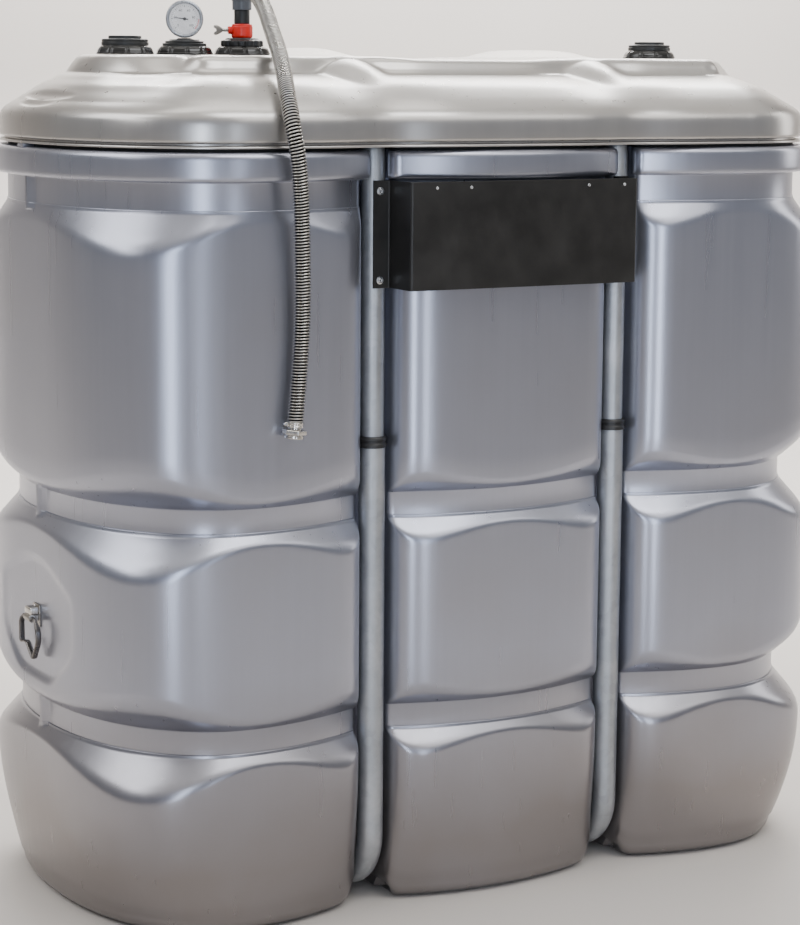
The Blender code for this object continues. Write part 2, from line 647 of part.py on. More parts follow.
# ------------------------------------------------------- swing ring on the end
def make_bracket(mat, parent):
    """Wall plate with two cheeks that hold the ring's top bar from both sides
    of the barrel, cut from one block."""
    wall = -(PANEL_X + GAP)
    bm = bmesh.new()
    bmesh.ops.create_cube(bm, size=1.0)
    bmesh.ops.scale(bm, vec=(0.003, 0.034, 0.044), verts=bm.verts)
    bmesh.ops.translate(bm, vec=(wall - 0.0015, 0, RING_Z + 0.004), verts=bm.verts)
    plate = from_bmesh("ring_bracket", bm, mat, parent, smooth=30)
    block = bmesh.new()
    bmesh.ops.create_cone(block, cap_ends=True, segments=20, radius1=WIRE_R + 0.0045,
                          radius2=WIRE_R + 0.0045, depth=0.030)
    bmesh.ops.rotate(block, cent=(0, 0, 0), matrix=Matrix.Rotation(math.radians(90), 3, "X"),
                     verts=block.verts)
    bmesh.ops.translate(block, vec=(RING_X, 0, RING_Z), verts=block.verts)
    barrel = from_bmesh("add_barrel", block, mat, smooth=0)
    web = bmesh.new()
    bmesh.ops.create_cube(web, size=1.0)
    reach = abs(RING_X - wall)
    bmesh.ops.scale(web, vec=(reach, 0.027, 0.011), verts=web.verts)
    bmesh.ops.translate(web, vec=((RING_X + wall) / 2 - 0.0005, 0, RING_Z), verts=web.verts)
    arm = from_bmesh("add_web", web, mat, smooth=0)
    hole = bmesh.new()
    bmesh.ops.create_cone(hole, cap_ends=True, segments=20, radius1=WIRE_R + 0.0012,
                          radius2=WIRE_R + 0.0012, depth=0.080)
    bmesh.ops.rotate(hole, cent=(0, 0, 0), matrix=Matrix.Rotation(math.radians(90), 3, "X"),
                     verts=hole.verts)
    bmesh.ops.translate(hole, vec=(RING_X, 0, RING_Z), verts=hole.verts)
    bore = from_bmesh("cut_bore", hole, mat, smooth=0)
    for tool, kind in ((barrel, "UNION"), (arm, "UNION"), (bore, "DIFFERENCE")):
        tool.hide_render = True
        tool.display_type = "WIRE"
        step = plate.modifiers.new(tool.name, "BOOLEAN")
        step.operation = kind
        step.solver = "EXACT"
        step.object = tool
    return plate


def make_ring(mat, pivot):
    """Closed wire loop, hanging from the barrel; its lower side is kinked."""
    path = []
    for k, corner in enumerate(LOOP):
        b = Vector(corner)
        a, c = Vector(LOOP[k - 1]) - b, Vector(LOOP[(k + 1) % len(LOOP)]) - b
        cut = min(0.007, 0.45 * a.length, 0.45 * c.length)
        p, q = b + a.normalized() * cut, b + c.normalized() * cut
        for t in (0.0, 0.34, 0.66, 1.0):
            path.append(tuple((1 - t) ** 2 * p + 2 * t * (1 - t) * b + t * t * q))
    bm = bmesh.new()
    n, sides = len(path), 10
    rows = []
    for i, (y, z) in enumerate(path):
        a, b = Vector(path[i - 1]), Vector(path[(i + 1) % n])
        t = (b - a).normalized()
        normal = Vector((0, -t.y, t.x))
        row = []
        for k in range(sides):
            w = 2 * math.pi * k / sides
            co = Vector((0, y, z)) + normal * (WIRE_R * math.cos(w)) + Vector((1, 0, 0)) * (WIRE_R * math.sin(w))
            row.append(bm.verts.new(co))
        rows.append(row)
    for i in range(n):
        one, two = rows[i], rows[(i + 1) % n]
        for k in range(sides):
            j = (k + 1) % sides
            bm.faces.new((one[k], one[j], two[j], two[k]))
    return from_bmesh("swing_ring", bm, mat, pivot)


# --------------------------------------------------------------------- build
def main():
    for obj in list(bpy.data.objects):
        bpy.data.objects.remove(obj, do_unlink=True)

    def empty(name, at=(0, 0, 0)):
        obj = bpy.data.objects.new(name, None)
        obj.location = at
        bpy.context.scene.collection.objects.link(obj)
        return obj

    root = empty("tank_origin")
    pivot = empty("ring_pivot", (RING_X, 0, RING_Z))

    shell_grey = material("moulded_silver_grey", (0.30, 0.31, 0.35), 0.38, 0.35)
    steel = material("galvanised_tube", (0.42, 0.45, 0.48), 0.42, 0.9)
    black = material("black_powder_coat", (0.012, 0.012, 0.013), 0.35)
    dark = material("dark_clip", (0.02, 0.02, 0.022), 0.5)
    mats = {
        "nut": material("glossy_black_nut", (0.012, 0.012, 0.013), 0.22),
        "plug": material("matt_black_cap", (0.016, 0.016, 0.017), 0.5),
        "case": material("gauge_case_grey", (0.42, 0.43, 0.45), 0.35, 0.6),
        "glass": material("gauge_glass_clear", (0.9, 0.92, 0.92), 0.05),
        "red": material("red_clamp_plastic", (0.75, 0.03, 0.015), 0.4),
        "steel": material("dull_steel_screw", (0.35, 0.33, 0.30), 0.4, 0.9),
        "grey": material("grey_socket_plastic", (0.12, 0.13, 0.15), 0.5),
        "nickel": material("nickel_plate", (0.62, 0.60, 0.55), 0.22, 1.0),
        "hose": material("steel_spiral_hose", (0.28, 0.28, 0.27), 0.35, 0.7),
    }
    make_shell(shell_grey, root)
    make_lid(material("moulded_silver_grey_lid", (0.36, 0.36, 0.37), 0.36, 0.35), root)
    make_hoops(steel, dark, root)
    make_cover(black, root)
    make_necks(mats, root)
    make_hose(mats, root)
    make_bracket(mats["steel"], root)
    make_ring(material("polished_wire", (0.40, 0.38, 0.36), 0.25, 1.0), pivot)


main()
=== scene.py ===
import math

import bmesh
import bpy
import numpy as np
from mathutils import Matrix, Vector


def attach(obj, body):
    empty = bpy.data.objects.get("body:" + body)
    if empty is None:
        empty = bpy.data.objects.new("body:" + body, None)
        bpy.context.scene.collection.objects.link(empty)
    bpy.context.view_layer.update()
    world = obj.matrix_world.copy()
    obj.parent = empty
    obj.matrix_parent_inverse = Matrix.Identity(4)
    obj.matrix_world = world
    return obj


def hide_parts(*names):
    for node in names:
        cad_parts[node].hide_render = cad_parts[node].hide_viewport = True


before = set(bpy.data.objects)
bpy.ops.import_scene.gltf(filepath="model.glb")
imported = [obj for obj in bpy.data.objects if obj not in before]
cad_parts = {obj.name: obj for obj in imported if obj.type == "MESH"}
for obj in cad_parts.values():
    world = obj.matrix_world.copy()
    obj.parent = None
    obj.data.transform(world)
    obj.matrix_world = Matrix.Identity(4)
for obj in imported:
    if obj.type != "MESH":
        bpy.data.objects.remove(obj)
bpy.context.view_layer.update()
BODY = "tank"


# ------------------------------------------------------------------- camera
def axes(yaw, pitch, roll):
    f = np.array([math.sin(yaw) * math.cos(pitch), math.cos(yaw) * math.cos(pitch), -math.sin(pitch)])
    r = np.array([math.cos(yaw), -math.sin(yaw), 0.0])
    d = np.cross(f, r)
    c, s = math.cos(roll), math.sin(roll)
    return c * r + s * d, -s * r + c * d, f


right, down, ahead = axes(*np.radians([29.09, 9.08, -0.43]))
camera_data = bpy.data.cameras.new("camera")
camera_data.lens = 36.0 * 2508.0 / 925.0
camera_data.sensor_width = 36.0
camera_data.clip_end = 60.0
camera = bpy.data.objects.new("camera", camera_data)
turn = Matrix(np.column_stack([right, -down, -ahead]).tolist()).to_4x4()
camera.matrix_world = Matrix.Translation((-2.543, -4.536, 1.642)) @ turn
bpy.context.scene.collection.objects.link(camera)
bpy.context.scene.camera = camera

# --------------------------------------------------------------- dimensions
GAP = 0.0003
HOOP_X, HOOP_Y, GROOVE_R = 0.275, 0.348, 0.034
CREASE = (0.356, 0.777, 1.373)
UNDER = (None, 0.399, 0.820)
RING_LOW, RING_TOP, SPIGOT_TOP = 1.4225, 1.478, 1.4837
SHOULDER, BELLY = 1.05, 0.90
FOOT_SWELL, FOOT_R = 0.10, 0.035
FOOT_BEND, FOOT_RUN, CHANNEL_TOP = 0.100, 0.0423, 0.0712
UPPER_NECK, RING_OUT, WALL = 0.013, 0.040, 0.012
PANEL_X = 0.8275
LID_TOP = 1.6520
UPPER_R, LOWER_R, JOINT_Z = 0.0225, 0.0255, 0.911
TOP_BEND, TOP_RUN = 0.130, 1.580
COVER_X, COVER_Y, COVER_LOW, COVER_HIGH = 0.2535, 0.457, 1.218, 1.421
COVER_T, FLANGE_X = 0.0025, 0.288
NECKS = (-0.632, -0.507, -0.383, 0.588)
NUT_R, NUT_H = 0.056, 0.0165
HOSE_R, HOSE_SKIN = 0.0145, 0.0155
ELBOW_Z, ELBOW_ARM = 1.790, 0.042
HOSE_HEADING = Vector((-0.130, -0.960, -0.240)).normalized()
HOSE_START = Vector((NECKS[2], 0.0, ELBOW_Z)) + HOSE_HEADING * (ELBOW_ARM + 2 * GAP)
HOSE_ROUTE = (
    tuple(HOSE_START), tuple(HOSE_START + HOSE_HEADING * 0.045),
    (-0.4110, -0.1650, 1.7330), (-0.4280, -0.2250, 1.6990),
    (-0.4467, -0.2900, 1.6630), (-0.4720, -0.3650, 1.6185),
    (-0.4950, -0.4310, 1.5680), (-0.5010, -0.4600, 1.5260),
    (-0.4968, -0.4690, 1.4820), (-0.4884, -0.4650, 1.4200),
    (-0.4800, -0.4565, 1.3000), (-0.4770, -0.4490, 1.1500),
    (-0.4887, -0.4465, 0.9860),
)


# ------------------------------------------------------------ material tools
class Nodes:
    """A small writer of node materials."""

    def __init__(self, name):
        self.mat = bpy.data.materials.new(name)
        self.mat.use_nodes = True
        self.tree = self.mat.node_tree
        self.shader = self.tree.nodes["Principled BSDF"]
        self.coords = self.tree.nodes.new("ShaderNodeTexCoord").outputs["Object"]

    def link(self, a, b):
        self.tree.links.new(a, b)

    def stretched(self, scale):
        node = self.tree.nodes.new("ShaderNodeMapping")
        node.inputs["Scale"].default_value = scale
        self.link(self.coords, node.inputs["Vector"])
        return node.outputs["Vector"]

    def noise(self, scale, detail=3.0, rough=0.55, vector=None, distortion=0.0):
        node = self.tree.nodes.new("ShaderNodeTexNoise")
        node.inputs["Scale"].default_value = scale
        node.inputs["Detail"].default_value = detail
        node.inputs["Roughness"].default_value = rough
        node.inputs["Distortion"].default_value = distortion
        self.link(self.coords if vector is None else vector, node.inputs["Vector"])
        return node.outputs["Fac"]

    def cells(self, scale, vector=None, colour=False):
        node = self.tree.nodes.new("ShaderNodeTexVoronoi")
        node.inputs["Scale"].default_value = scale
        self.link(self.coords if vector is None else vector, node.inputs["Vector"])
        return node.outputs["Color" if colour else "Distance"]

    def span(self, value, low, high, to_low, to_high):
        node = self.tree.nodes.new("ShaderNodeMapRange")
        node.inputs["From Min"].default_value = low
        node.inputs["From Max"].default_value = high
        node.inputs["To Min"].default_value = to_low
        node.inputs["To Max"].default_value = to_high
        self.link(value, node.inputs["Value"])
        return node.outputs["Result"]

    def math(self, kind, a, b):
        node = self.tree.nodes.new("ShaderNodeMath")
        node.operation = kind
        for slot, v in ((0, a), (1, b)):
            if isinstance(v, (int, float)):
                node.inputs[slot].default_value = v
            else:
                self.link(v, node.inputs[slot])
        return node.outputs["Value"]

    def mix(self, fac, a, b):
        node = self.tree.nodes.new("ShaderNodeMix")
        node.data_type = "RGBA"
        if isinstance(fac, (int, float)):
            node.inputs[0].default_value = fac
        else:
            self.link(fac, node.inputs[0])
        for slot, v in ((6, a), (7, b)):
            if isinstance(v, tuple):
                node.inputs[slot].default_value = (*v, 1.0)
            else:
                self.link(v, node.inputs[slot])
        return node.outputs[2]

    def ramp(self, fac, stops):
        node = self.tree.nodes.new("ShaderNodeValToRGB")
        while len(node.color_ramp.elements) < len(stops):
            node.color_ramp.elements.new(0.5)
        for e, (pos, colour) in zip(node.color_ramp.elements, stops):
            e.position = pos
            e.color = (*colour, 1.0)
        self.link(fac, node.inputs["Fac"])
        return node.outputs["Color"]

    def axis(self, index):
        node = self.tree.nodes.new("ShaderNodeSeparateXYZ")
        self.link(self.coords, node.inputs["Vector"])
        return node.outputs[index]

    def bump(self, height, strength, distance, after=None):
        node = self.tree.nodes.new("ShaderNodeBump")
        node.inputs["Strength"].default_value = strength
        node.inputs["Distance"].default_value = distance
        self.link(height, node.inputs["Height"])
        if after is not None:
            self.link(after, node.inputs["Normal"])
        return node.outputs["Normal"]

    def colour(self, value):
        self.link(value, self.shader.inputs["Base Color"])

    def rough(self, value):
        if isinstance(value, float):
            self.shader.inputs["Roughness"].default_value = value
        else:
            self.link(value, self.shader.inputs["Roughness"])

    def metal(self, value):
        self.shader.inputs["Metallic"].default_value = value

    def normal(self, value):
        self.link(value, self.shader.inputs["Normal"])

    def fixed(self, **values):
        for name, value in values.items():
            self.shader.inputs[name.replace("_", " ")].default_value = value


def moulded_silver(name, dark, light, metallic, low, high, base):
    """Pearly blow-moulded plastic with faint upright draw lines, and a painted warm floor reflection and shade towards
    the bottom.
    """
    n = Nodes(name)
    tall = n.stretched((1.0, 1.0, 0.035))
    lines = n.noise(70.0, 1.0, 0.5, tall)
    fine = n.noise(150.0, 0.0, 0.5, n.stretched((1.0, 1.0, 0.02)))
    cloud = n.noise(3.2, 3.0, 0.5)
    both = n.math("ADD", n.math("MULTIPLY", lines, 0.75), n.math("MULTIPLY", fine, 0.25))
    tone = n.span(both, 0.0, 1.0, 0.1, 0.9)
    colour = n.mix(tone, dark, light)
    colour = n.mix(n.span(cloud, 0.35, 0.70, 0.0, 0.22), colour, tuple(c * 1.10 for c in light))
    # painted floor reflection and shade: the lowest part is darker and warmer
    painted_floor_shade = n.math("ADD", n.span(n.axis(2), 0.12, 0.50, 1.0, 0.0), n.span(cloud, 0.3, 0.7, -0.15, 0.15))
    colour = n.mix(n.span(painted_floor_shade, 0.0, 1.0, 0.0, 1.0), colour, tuple(c * base * t for c, t in zip(dark, (1.0, 0.89, 0.75))))
    n.colour(colour)
    n.rough(n.span(both, 0.15, 0.85, low, high))
    n.metal(metallic)
    wave = n.noise(7.0, 2.0, 0.5, n.stretched((1.0, 1.0, 0.4)))
    n.normal(n.bump(wave, 0.05, 0.006))
    return n.mat


def galvanised(name):
    """Zinc skin: spangle, grey bloom and a few brighter rubs."""
    n = Nodes(name)
    spangle = n.cells(70.0, colour=True)
    split = n.tree.nodes.new("ShaderNodeSeparateColor")
    n.link(spangle, split.inputs["Color"])
    patch = n.noise(34.0, 5.0, 0.65, n.stretched((1, 1, 0.45)))
    bloom = n.noise(9.0, 4.0, 0.6)
    colour = n.mix(n.span(split.outputs["Red"], 0.0, 1.0, 0.0, 0.5), (0.31, 0.325, 0.345), (0.45, 0.47, 0.49))
    colour = n.mix(n.span(patch, 0.35, 0.68, 0.0, 0.8), colour, (0.40, 0.42, 0.44))
    colour = n.mix(n.span(bloom, 0.50, 0.72, 0.0, 0.6), colour, (0.54, 0.55, 0.56))
    n.colour(colour)
    n.rough(n.span(patch, 0.3, 0.7, 0.34, 0.52))
    n.metal(0.80)
    bump = n.bump(patch, 0.16, 0.0008)
    n.normal(n.bump(split.outputs["Green"], 0.10, 0.0004, bump))
    return n.mat


def black_coat(name, shade=0.012, low=0.30, high=0.42, grain=700.0, strength=0.18, tint=(1.0, 0.98, 0.95),
               level=0.5):
    """Satin black: fine grain and a little dust."""
    n = Nodes(name)
    fine = n.noise(grain, 2.0, 0.5)
    cloud = n.noise(14.0, 4.0, 0.6)
    colour = n.mix(n.span(cloud, 0.35, 0.75, 0.0, 1.0), tuple(shade * t for t in tint),
                   tuple(shade * 1.9 * t for t in tint))
    n.colour(colour)
    n.fixed(Specular_IOR_Level=level)
    n.rough(n.math("ADD", n.span(cloud, 0.3, 0.7, low, high), n.span(fine, 0.3, 0.7, -0.03, 0.03)))
    n.normal(n.bump(fine, strength, 0.0003))
    return n.mat


def plain_metal(name, colour, low, high, metallic=1.0, scratch=(1.0, 1.0, 0.05), grain=260.0):
    n = Nodes(name)
    lines = n.noise(grain, 4.0, 0.6, n.stretched(scratch))
    dull = n.noise(40.0, 4.0, 0.6)
    shade = n.mix(n.span(dull, 0.35, 0.72, 0.0, 0.7), colour, tuple(c * 0.62 for c in colour))
    n.colour(n.mix(n.span(lines, 0.3, 0.7, 0.0, 0.25), shade, tuple(min(1.0, c * 1.3) for c in colour)))
    n.rough(n.span(lines, 0.3, 0.7, low, high))
    n.metal(metallic)
    n.normal(n.bump(lines, 0.08, 0.0003))
    return n.mat


def coloured_plastic(name, colour, low, high):
    n = Nodes(name)
    cloud = n.noise(60.0, 3.0, 0.6)
    n.colour(n.mix(n.span(cloud, 0.3, 0.7, 0.0, 1.0), colour, tuple(c * 0.80 for c in colour)))
    n.rough(n.span(cloud, 0.3, 0.7, low, high))
    n.normal(n.bump(n.noise(1200.0, 2.0, 0.5), 0.12, 0.0002))
    return n.mat


M = {
    "shell": moulded_silver("moulded_silver_grey", (0.355, 0.368, 0.430), (0.395, 0.408, 0.470), 0.86, 0.26, 0.32, 0.76),
    # the lid uses the shell's plastic painted lighter and warmer: painted light on the top faces
    "lid": moulded_silver("moulded_silver_lid_painted_lighter", (0.475, 0.460, 0.442), (0.515, 0.498, 0.476), 0.86, 0.26, 0.32, 1.0),
    "zinc": galvanised("galvanised_steel"),
    "cover": black_coat("black_powder_coat", 0.0105, 0.32, 0.42, 600.0, 0.16, (1.05, 1.0, 0.93), level=0.40),
    "gloss": black_coat("gloss_black_nut", 0.008, 0.07, 0.14, 1500.0, 0.04),
    "matt": black_coat("matt_black_cap", 0.012, 0.34, 0.50, 1400.0, 0.15, (0.95, 1.0, 1.02)),
    "clip": black_coat("dark_clip_plastic", 0.012, 0.35, 0.50, 1200.0, 0.12),
    # near-black material for the band in the gap under the lid: painted shadow
    "gap_shadow": black_coat("gap_shadow_black", 0.006, 0.6, 0.75, 900.0, 0.1),
    "red": coloured_plastic("red_clamp_plastic", (0.85, 0.022, 0.010), 0.28, 0.38),
    "grey": coloured_plastic("grey_socket_plastic", (0.105, 0.115, 0.135), 0.32, 0.45),
    "nickel": plain_metal("nickel_plate", (0.66, 0.64, 0.60), 0.14, 0.28),
    "steel": plain_metal("dull_steel", (0.42, 0.40, 0.37), 0.26, 0.40),
    "bezel": plain_metal("gauge_bezel_grey", (0.42, 0.44, 0.47), 0.24, 0.36, 0.75),
    "wire": plain_metal("dark_steel_ring", (0.17, 0.16, 0.155), 0.22, 0.36, 0.95),
    "white": coloured_plastic("dial_white", (0.94, 0.94, 0.96), 0.40, 0.48),
    "ink": coloured_plastic("dial_ink", (0.030, 0.030, 0.034), 0.45, 0.55),
    "screw": plain_metal("zinc_screw", (0.72, 0.73, 0.74), 0.20, 0.34),
}


def hose_material():
    """Bright steel wraps over a dark inner wall; wraps show as raised rows."""
    n = Nodes("steel_spiral_hose")
    at = n.tree.nodes.new("ShaderNodeAttribute")
    at.attribute_name = "wrap"
    wrap = at.outputs["Fac"]
    dirt = n.noise(26.0, 1.0, 0.5)
    bright = n.mix(n.span(dirt, 0.35, 0.7, 0.0, 1.0), (0.56, 0.54, 0.50), (0.46, 0.44, 0.41))
    n.colour(n.mix(n.span(wrap, 0.35, 0.70, 0.0, 1.0), (0.004, 0.004, 0.004), bright))
    n.rough(n.span(dirt, 0.3, 0.7, 0.20, 0.34))
    n.link(n.span(wrap, 0.30, 0.60, 0.0, 1.0), n.shader.inputs["Metallic"])
    n.link(n.span(wrap, 0.20, 0.60, 0.15, 0.5), n.shader.inputs["Specular IOR Level"])
    return n.mat


M["hose"] = hose_material()


def glass_material():
    n = Nodes("gauge_clear_glass")
    n.fixed(Base_Color=(0.95, 0.97, 0.97, 1.0), Alpha=0.05, IOR=1.49)
    n.rough(n.span(n.noise(30.0), 0.3, 0.7, 0.02, 0.06))
    return n.mat


M["glass"] = glass_material()


# ---------------------------------------------------------------- mesh tools
def finish_mesh(name, verts, faces, mat, sharp=None, keep=None):
    mesh = bpy.data.meshes.new(name)
    mesh.from_pydata([tuple(map(float, v)) for v in verts], [], faces)
    mesh.validate()
    bm = bmesh.new()
    bm.from_mesh(mesh)
    bmesh.ops.remove_doubles(bm, verts=bm.verts, dist=2e-6)
    bmesh.ops.recalc_face_normals(bm, faces=bm.faces)
    bm.to_mesh(mesh)
    bm.free()
    mesh.shade_smooth()
    if sharp:
        mesh.set_sharp_from_angle(angle=math.radians(sharp))
    obj = bpy.data.objects.new(name, mesh)
    obj.data.materials.append(mat)
    bpy.context.scene.collection.objects.link(obj)
    return obj


def ride(obj, nodes=(), body=BODY):
    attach(obj, body)
    if nodes:
        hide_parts(*nodes)
    return obj


def skin(rows, closed=True):
    """Faces of a grid of rows; every row has the same number of points."""
    rows = [np.asarray(r, float) for r in rows]
    count = len(rows[0])
    verts = np.concatenate(rows)
    faces = []
    last = count if closed else count - 1
    for k in range(len(rows) - 1):
        a, b = k * count, (k + 1) * count
        for i in range(last):
            j = (i + 1) % count
            faces.append((a + i, a + j, b + j, b + i))
    return verts, faces


def rounded(profile, radius, steps=4):
    """A polyline with every inner corner turned into a small arc."""
    pts = [np.array(p, float) for p in profile]
    out = [pts[0]]
    for a, b, c in zip(pts, pts[1:], pts[2:]):
        r = radius
        u, v = a - b, c - b
        lu, lv = np.linalg.norm(u), np.linalg.norm(v)
        if lu < 1e-9 or lv < 1e-9:
            continue
        r = min(r, lu * 0.45, lv * 0.45)
        p, q = b + u / lu * r, b + v / lv * r
        for k in range(steps + 1):
            t = k / steps
            out.append((1 - t) ** 2 * p + 2 * t * (1 - t) * b + t * t * q)
    out.append(pts[-1])
    return out


def lathe(name, profile, mat, at, axis=(0, 0, 1), steps=64, fillet=0.0008, shape=None, sharp=None, spin=0.0):
    """Turned body; shape(angle, height) may scale the radius."""
    prof = rounded(profile, fillet, 3) if fillet else [np.array(p, float) for p in profile]
    spin_to = np.array(Vector((0, 0, 1)).rotation_difference(Vector(axis)).to_matrix())
    rows = []
    angles = np.linspace(0, 2 * math.pi, steps, endpoint=False) + spin
    for r, h in prof:
        r = max(float(r), 1e-5)
        radii = np.array([r * (shape(a, h, r) if shape else 1.0) for a in angles])
        rows.append(np.column_stack([radii * np.cos(angles), radii * np.sin(angles), np.full(steps, h)]))
    verts, faces = skin(rows)
    count = steps
    faces.append(tuple(range(count))[::-1])
    faces.append(tuple(range((len(rows) - 1) * count, len(rows) * count)))
    verts = verts @ spin_to.T + np.array(at, float)
    return finish_mesh(name, verts, faces, mat, sharp)


def frames(points):
    """Side vectors carried along a path without twist."""
    p = np.asarray(points, float)
    t = np.gradient(p, axis=0)
    t /= np.linalg.norm(t, axis=1)[:, None]
    ref = np.array([1.0, 0, 0]) if abs(t[0][0]) < 0.9 else np.array([0, 1.0, 0])
    side = np.cross(t[0], ref)
    side /= np.linalg.norm(side)
    sides = []
    for k in range(len(p)):
        side = side - t[k] * np.dot(side, t[k])
        side /= np.linalg.norm(side)
        sides.append(side.copy())
    sides = np.array(sides)
    return t, sides, np.cross(t, sides)


def sweep(points, radius, sides=28, ends=True, squash=(1.0, 1.0)):
    """Tube along a path; radius is a number or one per point."""
    p = np.asarray(points, float)
    t, a, b = frames(p)
    radius = np.broadcast_to(radius, (len(p),))
    ang = np.linspace(0, 2 * math.pi, sides, endpoint=False)
    rows = []
    for k in range(len(p)):
        rows.append(p[k] + radius[k] * (np.outer(np.cos(ang) * squash[0], a[k]) + np.outer(np.sin(ang) * squash[1], b[k])))
    verts, faces = skin(rows)
    if ends:
        faces.append(tuple(range(sides))[::-1])
        faces.append(tuple(range((len(rows) - 1) * sides, len(rows) * sides)))
    return verts, faces


def spline(points, count, heading=None):
    p = np.array(points, float)
    t = np.concatenate([[0], np.cumsum(np.linalg.norm(np.diff(p, axis=0), axis=1))])
    n = len(p)
    h = np.diff(t)
    a = np.zeros((n, n))
    b = np.zeros((n, p.shape[1]))
    a[0, 0] = a[-1, -1] = 1
    if heading is not None:
        a[0, 0], a[0, 1] = 2 * h[0], h[0]
        b[0] = 6 * ((p[1] - p[0]) / h[0] - np.array(heading))
    for i in range(1, n - 1):
        a[i, i - 1], a[i, i], a[i, i + 1] = h[i - 1], 2 * (h[i - 1] + h[i]), h[i]
        b[i] = 6 * ((p[i + 1] - p[i]) / h[i] - (p[i] - p[i - 1]) / h[i - 1])
    m = np.linalg.solve(a, b)

    def at(s):
        i = min(max(int(np.searchsorted(t, s) - 1), 0), n - 2)
        u, v = t[i + 1] - s, s - t[i]
        return ((m[i] * u**3 + m[i + 1] * v**3) / (6 * h[i])
                + (p[i] / h[i] - m[i] * h[i] / 6) * u
                + (p[i + 1] / h[i] - m[i + 1] * h[i] / 6) * v)

    fine = np.array([at(s) for s in np.linspace(0, t[-1], 1200)])
    arc = np.concatenate([[0], np.cumsum(np.linalg.norm(np.diff(fine, axis=0), axis=1))])
    steps = np.linspace(0, arc[-1], count)
    return np.stack([np.interp(steps, arc, fine[:, k]) for k in range(3)], 1), arc[-1]


def screw_head(name, at, axis, radius, height, mat, washer=0.0):
    """Pan head with a round socket, over a washer."""
    axis = Vector(axis).normalized()
    base = Vector(at)
    prof = [(0, 0)]
    if washer:
        prof += [(washer, 0), (washer, 0.0011), (radius * 1.02, 0.0012)]
        top = 0.0012
    else:
        prof += [(radius, 0)]
        top = 0.0
    prof += [(radius, top + height * 0.45), (radius * 0.80, top + height), (radius * 0.42, top + height),
             (radius * 0.40, top + height * 0.45), (0, top + height * 0.45)]
    return ride(lathe(name, prof, mat, base, axis, 28, 0.0003))


def box(name, low, high, mat, soft=0.0008):
    """Block with rounded edges."""
    bm = bmesh.new()
    bmesh.ops.create_cube(bm, size=1.0)
    low, high = Vector(low), Vector(high)
    for v in bm.verts:
        v.co = Vector([(low[i] + high[i]) / 2 + v.co[i] * (high[i] - low[i]) for i in range(3)])
    bmesh.ops.bevel(bm, geom=bm.edges[:], offset=soft, segments=3, profile=0.5, affect="EDGES")
    mesh = bpy.data.meshes.new(name)
    bm.to_mesh(mesh)
    bm.free()
    mesh.shade_smooth()
    mesh.set_sharp_from_angle(angle=math.radians(50))
    obj = bpy.data.objects.new(name, mesh)
    obj.data.materials.append(mat)
    bpy.context.scene.collection.objects.link(obj)
    return obj


# ------------------------------------------------------------- shell's plan
def resample(points, count):
    p = np.asarray(points, float)
    arc = np.concatenate([[0], np.cumsum(np.linalg.norm(np.diff(p, axis=0), axis=1))])
    steps = np.linspace(0, arc[-1], count)
    return np.stack([np.interp(steps, arc, p[:, k]) for k in range(p.shape[1])], 1)


def superellipse(x0, a, b, n, count=400):
    th = np.linspace(math.pi / 2, 0, count)
    return np.column_stack([x0 + a * np.cos(th).clip(0) ** (2 / n), b * np.sin(th).clip(0) ** (2 / n)])


def lobe_curves():
    lip_a, lip_b = HOOP_X - GROOVE_R, HOOP_X + GROOVE_R
    s = np.sin(np.linspace(0, math.pi / 2, 600))
    x = lip_a * s
    middle = np.column_stack([x, HOOP_Y + 0.069 * np.sqrt((1 - (x / lip_a) ** 5.5).clip(0))])
    x = 0.54 - 0.231 * np.sin(np.linspace(math.pi / 2, 0, 600))
    side = np.column_stack([x, HOOP_Y + 0.072 * np.sqrt((1 - (np.abs(x - 0.54) / 0.231) ** 5.5).clip(0))])
    end = superellipse(0.54, 0.295, 0.420, 3.4)
    return middle, side, end


def neck_curves():
    lip_a, lip_b, r = HOOP_X - GROOVE_R, HOOP_X + GROOVE_R, 0.007
    x = np.linspace(0, lip_a, 500)
    y = 0.402 - 0.85 * x**2
    d = ((lip_a - x) / r).clip(0, 1)
    y = y - r * (1 - np.sqrt((1 - (1 - d) ** 2).clip(0)))
    middle = np.column_stack([x, np.maximum(y, HOOP_Y - 0.006)])
    x = np.linspace(lip_b, 0.54, 500)
    y = 0.404 - 1.06 * (x - 0.54) ** 2
    d = ((x - lip_b) / r).clip(0, 1)
    y = y - r * (1 - np.sqrt((1 - (1 - d) ** 2).clip(0)))
    side = np.column_stack([x, y])
    end = superellipse(0.54, 0.275, 0.404, 2.2)
    return middle, side, end


def nearest(points, curve):
    out = []
    for p in points:
        d = np.linalg.norm(curve - p, axis=1)
        out.append(curve[int(np.argmin(d))])
    return np.array(out)


def smooth_run(values, passes):
    v = values.copy()
    for _ in range(passes):
        w = v.copy()
        w[1:-1] = 0.25 * v[:-2] + 0.5 * v[1:-1] + 0.25 * v[2:]
        v = w
    return v


